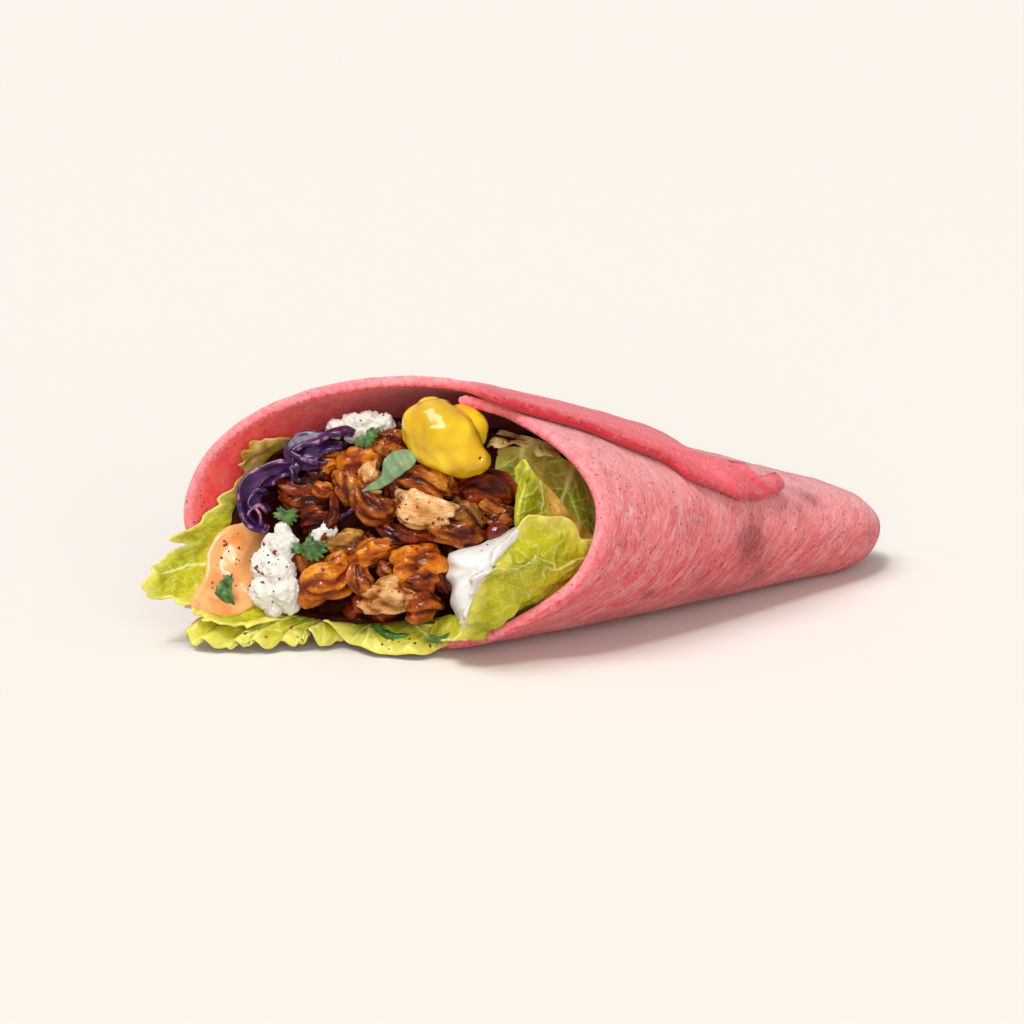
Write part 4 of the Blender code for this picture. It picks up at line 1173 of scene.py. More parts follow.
    def build(self) -> list[bpy.types.Object]:
        """Makes every leaf."""
        fresh = LeafFinish("lettuce_leaf", "#9C9800", "#C2B818", "#E8DA6C", wilt_deep="#A8822C",
                           wilt_pale="#DEB86C").make()
        fold = LeafFinish("inner_lettuce_leaf", "#8C8E00", "#B2B004", "#D4D044").make()
        shade = LeafFinish("shaded_lettuce_leaf", "#6A6E08", "#949214", "#BEB84A", browning=0.5).make()
        wilt = LeafFinish("wilted_lettuce_leaf", "#A08A2E", "#C8A050", "#EACB88", browning=0.8).make()
        leaves = [
            Leaf("leaf_left_wall", "leaf_left", self.left, 230, 70, ((0.38, 0.1, 0.9), (0.72, -0.2, 0.7)),
                 ruffle=2.2, ruffle_size=6.0,
                 tan=lambda u, v: smooth((u - 0.68) / 0.12) * smooth((0.75 - v) / 0.5)),
            Leaf("leaf_lower_left", "leaf_floor", self.floor, 180, 60, ((0.4, 0.1, 0.8), (0.8, -0.1, 0.6)),
                 6.0, ruffle=1.0, ruffle_size=5.0),
            Leaf("leaf_bottom", "leaf_front", self.front, 170, 60, ((0.3, -0.1, 0.8), (0.7, 0.1, 0.7)), 7.0),
            Leaf("leaf_near_wall", "leaf_near", self.near, 190, 110, ((0.82, -0.45, 1.0), (0.3, -0.2, 0.7)),
                 8.5, ruffle=2.8, ruffle_size=9.0),
        ]
        made = [leaf.build(fresh, "lettuce") for leaf in leaves]
        inner = [
            (Leaf("leaf_standing_fold", "leaf_standing", self.standing, 150, 90, ((0.32, 0.05, 0.8),), 6.0,
                  tan=lambda u, v: smooth((u - 0.22) / 0.26) * smooth((1.35 - v) / 0.5)), fold),
            (Leaf("leaf_inside_back", "leaf_back", self.back, 70, 60, ((0.4, 0.0, 0.9),), 5.0), shade),
            (Leaf("leaf_under_flap", "leaf_roof", self.roof, 90, 40, ((0.5, 0.4, 0.5),), 6.0), wilt),
            (Leaf("leaf_behind_pepper", "leaf_dark", self.dark, 40, 40, ((0.5, 0.0, 0.6),), 6.0), shade),
        ]
        made += [leaf.build(look, "shaded_lettuce") for leaf, look in inner]
        return made


# Meat and onion


@dataclass
class Chunk:
    """One torn piece of meat: where it runs in the mouth's frame, how thick it is, and its look."""

    name: str
    start: tuple
    end: tuple
    width: float
    look: Meat
    bend: float = 0.0
    lift: float = 0.8
    flat: float = 0.8
    detail: int = 5
    roughness: float = 1.0
    fullness: float = 1.28
    twist: float = 0.5

    def build(self, seed: float) -> bpy.types.Object:
        """Makes the piece.

        Args:
            seed: Moves its random relief.

        Returns:
            The object.
        """
        shape = bmesh.new()
        bmesh.ops.create_icosphere(shape, subdivisions=self.detail, radius=1.0)
        ball = np.array([vert.co for vert in shape.verts])
        start, end = np.array(self.start, float), np.array(self.end, float)
        reach = np.linalg.norm(end - start)
        half = reach / 2.0 + self.width * 0.22
        boxy = np.sign(ball) * np.abs(ball) ** np.array([0.8, 0.88, 0.88])
        thick = self.width * self.fullness / 2.0
        local = np.stack([boxy[:, 0] * half, boxy[:, 1] * thick, boxy[:, 2] * thick * self.flat], -1)
        size = self.width * self.fullness
        broad = lumps(local, size * 0.8, 2, seed)
        strands = 1.0 - 2.2 * np.abs(lumps(local * np.array([0.28, 1.0, 1.0]), size * 0.42, 2, seed + 3.0))
        fine = lumps(local * np.array([0.6, 1.0, 1.0]), 1.5, 2, seed + 4.0)
        torn = creases(local * np.array([0.5, 1.0, 1.0]), size * 0.8, seed + 5.0)
        dents = np.clip(0.2 - torn, 0.0, 0.2) / 0.2
        swell = 1.0 + self.roughness * (0.34 * broad + 0.13 * strands - 0.16 * dents) + 0.07 * fine
        local = local * swell[:, None]
        twist = self.twist * (local[:, 0] / half)
        c, s = np.cos(twist), np.sin(twist)
        local[:, 1], local[:, 2] = c * local[:, 1] - s * local[:, 2], s * local[:, 1] + c * local[:, 2]
        share = (local[:, 0] / (2.0 * half)) + 0.5
        ahead = (end - start) / max(reach, 1e-6)
        aside = np.array([-ahead[1], ahead[0], 0.0])
        aside /= max(np.linalg.norm(aside), 1e-6)
        front = np.cross(ahead, aside)
        front *= np.sign(front[2]) or 1.0
        bow = 4.0 * share * (1.0 - share)
        wander = math.sin(seed * 3.1) * 0.12 * self.width
        side = local[:, 1] + self.bend * bow + wander * np.sin(share * 6.0 + seed)
        middle = (start + end) / 2.0
        table = (middle + ahead * local[:, :1] + aside * side[:, None]
                 + front * (local[:, 2] + self.lift * bow)[:, None])
        for vert, place in zip(shape.verts, to_row(FORM.mouth_points(table))):
            vert.co = place
        outward_faces(shape)
        made = finish_mesh(self.name, shape)
        # Relief height that the material reads: raised parts are painted lighter and dents darker, partly
        # browning and glaze, partly painted highlight and painted crease shade.
        high = 0.5 + 0.4 * broad + 0.28 * strands + 0.15 * fine - 0.45 * dents
        mark(made, "high", np.clip(high, 0.0, 1.0))
        return made


@dataclass
class Filling:
    """The meat heap: a dark core that fills the roll and every piece that shows on it."""

    chunks: tuple = (
        Chunk("meat_orange_chunk", (-24.8, -24.8, 4), (-13.4, -13.6, 2), 9.5, Meat.ORANGE, roughness=0.7),
        Chunk("meat_orange_strip", (-13.8, -15.4, 2), (1.4, -6.3, 4), 5.4, Meat.ORANGE, 0.8),
        Chunk("meat_tan_centre", (0.3, 4.8, 4), (17.3, 2.8, 4), 8.2, Meat.TAN, 0.6, roughness=1.3),
        Chunk("meat_curved_upper", (-11.4, 7.4, 3), (0.6, 2.7, 2), 7.6, Meat.CARAMEL, -1.2),
        Chunk("meat_under_pepper", (1.4, 13.2, 1), (13.9, 12.0, 2), 7.6, Meat.CARAMEL, 0.6, roughness=1.2),
        Chunk("meat_shadow_upper", (9.6, 12.3, -2), (21.5, 14.5, -4), 6.3, Meat.BROWN),
        Chunk("meat_dark_roll", (20.9, 12.1, 0), (33.2, 13.6, -5), 7.6, Meat.DARK, roughness=0.7),
        Chunk("meat_torn_strip", (24.5, 8.7, 0), (33.7, 6.7, -2), 4.0, Meat.CARAMEL),
        Chunk("onion_slant", (16.4, 6.3, 1), (28.0, 1.1, -1), 6.3, Meat.ONION, roughness=1.2),
        Chunk("meat_chili_slab", (11.0, -3.0, 3), (25.4, -0.9, 2), 7.0, Meat.CARAMEL, roughness=0.8),
        Chunk("meat_dark_gloss", (-3.7, -1.8, 1), (10.4, -3.5, 3), 5.4, Meat.DARK, -1.0),
        Chunk("meat_big_fold", (3.5, -15.7, 4), (15.2, -9.3, 1), 9.5, Meat.ORANGE, 1.0, roughness=1.2),
        Chunk("meat_fold_low", (6.2, -18.8, 4.5), (15.0, -15.9, 3), 5.6, Meat.BROWN),
        Chunk("meat_hook", (-8.7, -14.4, 4), (-3.6, -21.7, 4), 5.2, Meat.CARAMEL, -1.6),
        Chunk("meat_light_tan", (-5.2, -24.2, 4), (8.6, -21.8, 4.5), 8.3, Meat.TAN, 0.8, roughness=1.25),
        Chunk("meat_brown_low", (8.3, -26.3, 3), (15.0, -21.8, 1), 7.6, Meat.BROWN),
        Chunk("meat_orange_left", (-26.0, 15.4, -4), (-22.5, 20.0, -6), 5.6, Meat.ORANGE, roughness=0.7),
        Chunk("meat_orange_round", (-19.2, 17.0, -3), (-9.8, 19.4, -3), 8.6, Meat.ORANGE, roughness=0.8),
        Chunk("meat_chili_top", (-11.3, 22.0, -4), (-0.2, 26.5, -6), 7.6, Meat.CARAMEL, roughness=0.9),
        Chunk("meat_curl_left", (-20.3, 12.7, -1), (-14.2, 6.4, -2), 6.3, Meat.CARAMEL, 1.4),
        Chunk("meat_curl_middle", (-9.3, 17.7, -1), (-6.3, 11.0, 0), 5.4, Meat.TAN, -1.6),
        Chunk("meat_dark_upper", (-39.5, 8.7, -5), (-27.3, 10.6, -5), 5.7, Meat.DARK),
        Chunk("meat_dark_lower", (-37.5, 4.8, -5), (-23.5, 5.2, -5), 5.6, Meat.BROWN),
        Chunk("onion_pale", (-20.1, -7.6, -1.5), (-10.3, -6.3, -1.5), 6.0, Meat.ONION, roughness=0.6),
        Chunk("onion_caramel", (-25.4, -10.7, 0), (-23.6, -16.3, 0), 5.6, Meat.BROWN),
        Chunk("meat_fill_low", (-12.3, -25.6, -2), (0.4, -27.0, -2), 6.3, Meat.DARK),
        Chunk("meat_fill_middle", (-14.5, -5.8, -2), (-4.1, -10.2, -1), 7.0, Meat.BROWN),
        Chunk("meat_thin_hook", (-19.9, 5.8, 1), (-22.2, -6.2, 2), 2.8, Meat.DARK, 1.5, detail=4),
        Chunk("meat_orange_cube", (-26.7, 8.8, 0), (-21.5, 8.9, 0), 4.2, Meat.ORANGE, detail=4,
              roughness=0.5),
        Chunk("meat_small_lump", (-2.1, -14.8, 4), (2.0, -14.5, 4), 3.8, Meat.CARAMEL, detail=4),
        Chunk("meat_right_low", (15.8, -15.8, 2), (19.4, -16.4, -1), 5.1, Meat.DARK, detail=4),
        Chunk("meat_above_bean", (29.0, 4.0, -1), (37.3, 4.2, -3), 4.8, Meat.CARAMEL, detail=4),
        Chunk("onion_caramel_left", (-33.4, -10.7, 2), (-27.6, -16.3, 1), 5.1, Meat.CARAMEL, detail=4),
        Chunk("meat_fill_right", (14.3, -6.3, -2), (18.0, -11.3, -2), 5.5, Meat.DARK, detail=4),
        Chunk("meat_curl_end", (-13.5, 10.5, 0), (-6.0, 9.0, 0.5), 3.6, Meat.TAN, -1.4, detail=4),
        Chunk("meat_far_left", (-30.0, -2.0, -4), (-22.0, 2.0, -4), 6.0, Meat.DARK, detail=4),
        Chunk("meat_far_right", (18.0, -3.0, -3), (30.0, -2.0, -4), 7.0, Meat.DARK, detail=4),
        Chunk("meat_gap_centre", (-4.0, -9.0, 0), (6.0, -8.0, 0), 5.0, Meat.BROWN, detail=4),
        Chunk("meat_gap_top", (-3.0, 9.0, -1), (10.0, 8.0, -1), 6.0, Meat.DARK, detail=4),
        Chunk("meat_gap_left", (-31.0, 13.5, -4), (-24.0, 12.5, -4), 4.6, Meat.DARK, detail=4),
    )
    core_depth: float = -10.0
    core_recess: float = 28.0
    core_end: float = 0.76
    core_columns: int = 161
    core_rows: int = 121
    core_weld: float = 2e-5
    halvings: int = 24

    def core(self) -> bpy.types.Object:
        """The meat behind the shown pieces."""

        def surface(u: Array, v: Array) -> Array:
            angle = 360.0 * u
            sine = np.sin(np.radians(angle))
            recess = self.core_recess * smooth(1.4 * sine - 0.2)
            low_share = (0.5 - 0.5 * np.cos(np.radians(angle))) ** 2
            ahead = -8.0 + 9.0 * low_share
            low, high = np.full_like(u, -0.1), np.full_like(u, 0.7)
            middle, outward = np.asarray(FORM.middle), np.asarray(FORM.outward)
            for _ in range(self.halvings):
                half = (low + high) / 2.0
                beyond = (FORM.point(angle, half, self.core_depth, False) - middle) @ outward
                in_front = beyond > ahead - recess
                low, high = np.where(in_front, half, low), np.where(in_front, high, half)
            front = FORM.point(angle, low, self.core_depth, False) - middle
            across, up = front @ np.asarray(FORM.across), front @ np.asarray(FORM.upward)
            reach = np.clip(v / 0.4, 0.0, 1.0)
            out = ahead * reach**2 + 0.5 * (1.0 - reach**2) - recess * reach - 2.4
            out = out - 9.0 * smooth((-across * reach - 30.0) / 14.0)
            inset = 1.0 - 0.12 * smooth((-across - 25.0) / 20.0)
            face = FORM.mouth(across * reach * inset, up * reach, out)
            back = np.clip((v - 0.4) / 0.55, 0.0, 1.0)
            share = low + (self.core_end - low) * back
            wall = FORM.point(angle, share, self.core_depth + 3.0 * back, False)
            close = np.clip((v - 0.95) / 0.05, 0.0, 1.0)[..., None]
            inner = FORM.point(0.0, 0.77, -20.0, False)
            return np.where((v < 0.4)[..., None], face, wall) * (1 - close) + inner * close

        shape = bmesh.new()
        columns, rows = self.core_columns, self.core_rows
        u, v = np.meshgrid(np.linspace(0, 1, columns), np.linspace(0, 1, rows), indexing="ij")
        placed = grid_shape(shape, columns, rows, to_row(surface(u, v)))
        border = [vert for vert, i, j in placed if i in (0, columns - 1) or j in (0, rows - 1)]
        bmesh.ops.remove_doubles(shape, verts=border, dist=self.core_weld)
        outward_faces(shape)
        made = finish_mesh("meat_core", shape)
        place = points_of(made) / MM
        rough = lumps(place, 5.0, 3, 1.0) - 1.2 * np.clip(0.35 - creases(place, 6.0, 2.0), 0.0, 1.0)
        push(made, rough * 1.1 - 0.6)
        # The same relief height on the shaded core: raised parts lighter, hollows darker as painted shade.
        mark(made, "high", np.clip(0.2 + 0.3 * rough, 0.0, 1.0))
        return made

    def build(self) -> list[bpy.types.Object]:
        """Makes the core and every piece."""
        looks = {look: look.value.make() for look in Meat}
        made = [settle(self.core(), looks[Meat.CORE], "meat", "meat_heap")]
        for n, chunk in enumerate(self.chunks):
            made.append(settle(chunk.build(1.7 * n + 0.4), looks[chunk.look], "meat", "meat_heap"))
        return made


# Cheese, sauce, vegetables and herbs


@dataclass
class Crumble:
    """A crumbly clump of white cheese made of lumps that fuse."""

    name: str
    node: str
    lumps: tuple
    voxel: float = 0.36
    crumbs: int = 60
    crumb_size: tuple = (0.35, 0.95)

    def build(self, material: bpy.types.Material, rng: np.random.Generator) -> bpy.types.Object:
        """Makes the clump.

        Args:
            material: Its look.
            rng: Places its crumbs.

        Returns:
            The object.
        """
        shape = bmesh.new()
        for across, up, out, radius in self.lumps:
            made = bmesh.ops.create_icosphere(shape, subdivisions=3, radius=radius * MM)
            centre = Vector(to_row(FORM.mouth(across, up, out)))
            bmesh.ops.translate(shape, verts=made["verts"], vec=centre)
        weights = np.array([lump[3] ** 2 for lump in self.lumps])
        for k in rng.choice(len(self.lumps), self.crumbs, p=weights / weights.sum()):
            across, up, out, radius = self.lumps[k]
            way = rng.normal(size=3)
            way[2] = abs(way[2])
            way /= np.linalg.norm(way)
            size = rng.uniform(*self.crumb_size)
            made = bmesh.ops.create_icosphere(shape, subdivisions=1, radius=size * MM)
            place = np.array([across, up, out]) + way * (radius - size * 0.2)
            bmesh.ops.translate(shape, verts=made["verts"], vec=Vector(to_row(FORM.mouth(*place))))
        clump = fuse(finish_mesh(self.name, shape), self.voxel, rounds=1)
        place = points_of(clump) / MM
        rough = 0.34 * lumps(place, 2.6, 4, 6.0) - 0.4 * np.clip(0.3 - creases(place, 1.5, 1.0), 0.0, 1.0)
        push(clump, rough)
        return settle(clump, material, "cheese", self.node)


@dataclass
class Pool:
    """A pool of sauce on what is under it, outlined in pixels of the photograph.

    A pool that spans a gap hangs across it from its own evened edge.
    """

    name: str
    node: str
    outline: tuple
    thickness: float
    middle: tuple
    dips: float = 0.35
    softening: int = 60
    spans: bool = False
    columns: int = 121
    rows: int = 36
    rise: float = 0.75
    backing: float = 0.25
    span_backing: float = 1.6
    span_ahead: float = 0.6
    edge_rank: float = 55.0
    edge_rounds: int = 16
    voxel: float = 0.46

    def even_edge(self, far: Array) -> Array:
        """Evens out how far off the edge of a pool that spans a gap lies."""
        edge = np.minimum(far, np.percentile(far, self.edge_rank))
        for _ in range(self.edge_rounds):
            edge[:-1] = (np.roll(edge[:-1], 1) + 2.0 * edge[:-1] + np.roll(edge[:-1], -1)) / 4.0
        edge[-1] = edge[0]
        return edge

    def build(self, material: bpy.types.Material, slot: str,
              under: Sequence[bpy.types.Object]) -> bpy.types.Object:
        """Makes the pool.

        Args:
            material: Its look.
            slot: The record's material slot.
            under: The pieces that it lies on.

        Returns:
            The object.
        """
        trees = trees_of(under)
        ring = np.asarray(self.outline + self.outline[:1], float)
        walked = cumulative(ring, 0)
        columns, rows = self.columns, self.rows
        share = np.linspace(0.0, walked[-1], columns)
        edge = np.stack([np.interp(share, walked, ring[:, k]) for k in (0, 1)], -1)
        for _ in range(2):
            edge[1:-1] = (edge[:-2] + 2 * edge[1:-1] + edge[2:]) / 4.0
        reach = np.sqrt(np.linspace(0.0, 1.0, rows))
        pixels = np.asarray(self.middle) + (edge[:, None, :] - self.middle) * reach[None, :, None]
        eye = np.array(SIGHT.eye())
        ways = np.empty((columns, rows, 3))
        far = np.empty((columns, rows))
        for i in range(columns):
            for j in range(rows):
                hit = SIGHT.meet(*pixels[i, j], trees)
                ways[i, j] = SIGHT.ray(*pixels[i, j])
                far[i, j] = hit[2] if hit else np.nan
        far = np.where(np.isnan(far), np.nanmedian(far), far)
        soft = far.copy()
        if self.spans:
            hung = self.even_edge(far[:, -1])
            soft[:] = hung.mean()
        for _ in range(self.softening):
            soft[:, 0] = soft[:, 0].mean()
            wide = (np.roll(soft[:-1], 1, 0) + np.roll(soft[:-1], -1, 0)) / 2.0
            soft[:-1] = soft[:-1] * 0.4 + wide * 0.6
            soft[-1] = soft[0]
            if self.spans:
                soft[:, -1] = hung
            soft[:, 1:-1] = soft[:, 1:-1] * 0.4 + (soft[:, :-2] + soft[:, 2:]) * 0.3
        near = np.minimum(soft, far + 0.4 * self.thickness * MM) - self.span_ahead * self.spans * MM
        lens = np.sqrt(np.clip(1.0 - reach**6, 0.0, 1.0))[None, :]
        shape = bmesh.new()
        for offset in (self.rise, -(self.span_backing if self.spans else self.backing)):
            depth = near - offset * self.thickness * MM * lens
            grid_shape(shape, columns, rows, eye + ways * depth[..., None])
        border = [vert for vert in shape.verts if vert.is_boundary]
        bmesh.ops.remove_doubles(shape, verts=border, dist=WELD)
        outward_faces(shape)
        pool = fuse(finish_mesh(self.name, shape), self.voxel, rounds=4)
        push(pool, self.dips * lumps(points_of(pool) / MM, 6.0, 2, 2.0))
        return settle(pool, material, slot, self.node)


@dataclass
class Shred:
    """A curved strip that stands on edge along a spine in the mouth's frame."""

    name: str
    node: str
    spine: tuple
    width: float
    thickness: float
    curl: float = 0.0
    tilt: float = 0.0
    aside: float = 0.0

    def surface(self, u: Array, v: Array) -> Array:
        """The strip's middle layer."""
        centre = FORM.mouth_points(path_through(self.spine, u) + np.array([self.aside, 0.0, 0.0]))
        ahead = unit(np.gradient(centre, axis=0))
        outward = np.asarray(FORM.outward)
        aside = np.cross(ahead, outward)
        lean = np.radians(self.tilt) * (1.0 + 0.3 * np.sin(u * 5.0))[..., None]
        broad = outward * np.cos(lean) + aside * np.sin(lean)
        thin = aside * np.cos(lean) - outward * np.sin(lean)
        end = np.minimum(u, 1.0 - u) * (len(self.spine) - 1)
        half = self.width / 2.0 * (0.5 + 0.5 * np.minimum(end, 1.0))
        half = half * (1.0 + 0.14 * np.sin(u * 17.0))
        across = (v - 0.5) * 2.0
        bend = self.curl * across**2 + 0.5 * np.sin(u * 11.0) * across
        return centre + broad * (across * half)[..., None] - thin * bend[..., None]

    def build(self, material: bpy.types.Material, slot: str) -> bpy.types.Object:
        """Makes the strip."""
        skin = Skin(self.name, self.surface, spread(90, (0.002, 0.006), True), spread(16, (0.01, 0.03), True),
                    self.thickness, edge=0.5, relief=lambda u, v, p, r: 0.2 * lumps(p, 2.5, 2, 1.0))
        return settle(skin.make(), material, slot, self.node)


@dataclass
class HerbLeaf:
    """A flat herb leaf: its outline in the mouth's frame, toothed and domed."""

    name: str
    node: str
    outline: tuple
    curl: float = 0.8
    teeth: float = 0.0

    def surface(self, u: Array, v: Array) -> Array:
        """The leaf's middle layer: u goes round the outline and v out from the middle."""
        ring = np.asarray(self.outline + self.outline[:1], float)
        walked = cumulative(ring, 0)
        edge = np.stack([along(u * walked[-1], walked, ring[:, k]) for k in range(3)], -1)
        middle = ring[:-1].mean(0)
        tooth = 1.0 - self.teeth * (0.5 + 0.5 * np.cos(u * len(self.outline) * 4.0 * np.pi))
        reach = (1.0 - v) * (1.0 + (tooth - 1.0) * (1.0 - v) ** 2)
        table = middle + (edge - middle) * reach[..., None]
        ripple = 0.3 * np.sin(table[..., 0] * 1.3 + table[..., 1])
        table[..., 2] += self.curl * (1.0 - (1.0 - v) ** 2) + ripple
        return FORM.mouth_points(table)

    def build(self, material: bpy.types.Material) -> bpy.types.Object:
        """Makes the leaf."""
        skin = Skin(self.name, self.surface, np.linspace(0, 1, 97), spread(20, (0.01, 0.03)), 0.5,
                    closed=True, edge=0.4, relief=lambda u, v, p, r: 0.12 * lumps(p, 1.6, 2, 1.0), flip=True)
        return settle(skin.make(), material, "herb", self.node)


def scatter_flakes(name: str, spots: tuple, size: tuple[float, float], targets: list[bpy.types.Object],
                   rng: np.random.Generator) -> bpy.types.Object:
    """Drops thin chips on what shows.

    Args:
        name: The object's name.
        spots: Pixel of the photograph, reach across and down in pixels, and number of chips.
        size: Smallest and largest width in millimetres.
        targets: What they may land on.
        rng: The random draws.

    Returns:
        One object of all the chips.
    """
    trees = trees_of(targets)
    shape = bmesh.new()
    for x, y, wide, high, count in spots:
        for _ in range(count):
            at = x + rng.normal() * wide * 0.55, y + rng.normal() * high * 0.55
            width, turn, jitter = rng.uniform(*size), rng.uniform(0, math.tau), rng.uniform(0.6, 1.4, 8)
            hit = SIGHT.meet(*at, trees)
            if not hit:
                continue
            place, normal, _ = hit
            chip = bmesh.ops.create_cone(shape, cap_ends=True, segments=7, radius1=0.5, radius2=0.36,
                                         depth=0.3)
            spin = normal.to_track_quat("Z", "Y").to_matrix()
            c, s = math.cos(turn), math.sin(turn)
            for k, vert in enumerate(chip["verts"]):
                chip_x, chip_y, chip_z = vert.co * (width * MM)
                chip_x, chip_y = chip_x * jitter[k % 7], chip_y * jitter[(k + 3) % 7] * 0.7
                turned = Vector((c * chip_x - s * chip_y, s * chip_x + c * chip_y,
                                 chip_z + 0.06 * width * MM))
                vert.co = place + spin @ turned
    return finish_mesh(name, shape)


@dataclass
class Toppings:
    """Pepper, bean, cabbage, cheese, sauces, herbs and spice."""

    seed: int = 5

    def pepper(self) -> bpy.types.Object:
        """The pickled yellow pepper with its lobe."""
        spine = ((2.6, 32.6, -2), (5.6, 31.0, 0.5), (9.6, 29.0, 2.5), (14.0, 26.6, 4.0), (18.5, 23.6, 5.0),
                 (22.5, 21.3, 5.6), (26.2, 20.4, 6.4), (29.6, 20.9, 7.2))
        lobe = ((11.0, 30.5, 0.0), (15.5, 31.0, -3.0), (19.5, 30.5, -6.5), (23.0, 29.2, -10.0))
        made = rods("pepperoncini_body", [
            Rod("body", spine, (6.4, 8.6, 9.4, 9.8, 8.8, 6.8, 4.8, 3.9), 0.9),
            Rod("shoulder", ((3.4, 34.2, -1), (9.6, 34.0, 0.5), (16.6, 32.8, 0.5)), (4.4, 4.8, 4.6), 0.9),
            Rod("lobe", lobe, (6.0, 6.8, 6.0, 3.6), 0.9),
        ])
        fuse(made, voxel=0.45, rounds=10)
        place = points_of(made) / MM
        push(made, 1.0 * lumps(place, 7.5, 2, 4.0) + 0.35)
        tip = to_row(FORM.mouth(27.6, 20.2, 9.6))
        skin = points_of(made)
        tip = skin[np.argmin(np.linalg.norm(skin - tip, axis=1))]
        gap = np.linalg.norm(skin - tip, axis=1) / MM
        push(made, -0.7 * np.exp(-(gap / 0.8) ** 2))
        # Painted shade: a soft dark patch round the hidden lobe is added to the blossom-end scar mark.
        hidden = to_row(FORM.mouth(20.5, 31.5, -7.0))
        shaded = np.linalg.norm(points_of(made) - hidden, axis=1) / MM
        mark(made, "scar", np.exp(-(gap / 0.75) ** 2) + 0.4 * np.exp(-(shaded / 6.0) ** 4))
        return settle(made, PepperFinish().make(), "pepperoncini", "pepperoncini")

    def bean(self) -> bpy.types.Object:
        """The glossy red bean."""
        shape = bmesh.new()
        bmesh.ops.create_icosphere(shape, subdivisions=4, radius=3.6 * MM)
        for vert in shape.verts:
            vert.co = Vector((vert.co.x * 1.1, vert.co.y, vert.co.z * 0.92)) + Vector(
                to_row(FORM.mouth(33.1, -1.0, 1.5)))
        made = finish_mesh("red_bean", shape)
        look = plain_finish("stewed_bean", "#4A0C08", "#7E1E12", 3.0, 0.1, Roughness=0.16, Coat_Weight=0.7,
                            Coat_Roughness=0.06)
        return settle(made, look, "bean", "bean")

    def build(self, beneath: list[bpy.types.Object],
              near_leaf: bpy.types.Object) -> dict[str, bpy.types.Object]:
        """Makes every topping.

        Args:
            beneath: The leaves and meat that the sauces lie on.
            near_leaf: The leaf that the white sauce runs against.

        Returns:
            The pieces by name.
        """
        rng = np.random.default_rng(self.seed)
        made = {"pepper": self.pepper(), "bean": self.bean()}
        purple = CabbageFinish().make()
        shreds = [
            Shred("cabbage_arc_shred", "cabbage_arc", (
                (-34.8, 16.6, -3), (-40.5, 15.3, -1), (-45.4, 12.9, 1), (-48.6, 9.3, 2), (-49.8, 3.5, 3),
                (-48.6, -1.1, 3), (-45.4, -4.3, 3), (-41.4, -5.1, 2)), 5.6, 1.7, 0.8, 42.0, 1.6),
            Shred("cabbage_fold_shred", "cabbage_fold", (
                (-43.0, 7.2, 1), (-46.0, 6.3, 2), (-46.6, 2.2, 3), (-43.6, 2.4, 3), (-41.6, 0.4, 2.5)),
                4.2, 1.3, 0.3, 30.0, 1.6),
            Shred("cabbage_loop_shred", "cabbage_loop", (
                (-26.4, 16.4, -1), (-32.2, 16.8, 0), (-36.0, 19.6, 0), (-33.0, 23.6, -1), (-27.4, 24.6, -1),
                (-23.1, 26.6, -1), (-19.5, 27.4, -2), (-16.8, 27.0, -3)), 5.2, 1.8, 0.6, 48.0),
            Shred("cabbage_hanging", "cabbage_loop", (
                (-34.2, 18.6, 0), (-33.6, 14.5, 0.8), (-33.5, 10.6, 1)), 3.4, 1.2, 0.3, 50.0),
            Shred("cabbage_under", "cabbage_loop", (
                (-36.0, 17.6, -2), (-30.0, 20.2, -1.5), (-25.0, 21.8, -1.5), (-20.0, 23.0, -2)),
                5.4, 1.5, 0.5, 64.0),
            Shred("cabbage_behind", "cabbage_loop", (
                (-36.4, 22.0, -3), (-31.0, 21.0, -3), (-26.0, 18.6, -2.6), (-23.0, 19.0, -3)),
                6.0, 1.4, 0.6, 70.0),
            Shred("cabbage_low_band", "cabbage_arc", (
                (-47.6, 6.0, -1), (-44.0, 10.6, -1.6), (-39.0, 13.0, -2), (-34.0, 14.4, -2.6)),
                5.0, 1.4, 0.5, 60.0),
            Shred("cabbage_inner_ring", "cabbage_arc", (
                (-43.5, -3.2, 3.2), (-45.8, -0.6, 3.6), (-44.6, 1.6, 3.8), (-42.4, -0.6, 3.6),
                (-41.4, -3.6, 3.2)), 2.6, 0.9),
            Shred("cabbage_small_strip", "cabbage_loop", (
                (-18.6, -0.6, 0.4), (-14.1, 2.9, 0.6), (-10.2, 4.6, -0.4)), 3.4, 1.3),
        ]
        for shred in shreds:
            made[shred.name] = shred.build(purple, "cabbage")
        green = plain_finish("green_chilli_slice", "#1E4210", "#3F7A25", 4.0, 0.1, Roughness=0.2,
                             Coat_Weight=0.5)
        slice_spine = ((-3.6, -31.2, -1), (-0.6, -33.4, -1), (4.2, -34.4, -1), (8.4, -33.8, -1))
        sliced = Shred("green_chilli", "green_pepper", slice_spine, 3.2, 2.2)
        made["slice"] = sliced.build(green, "green_pepper")

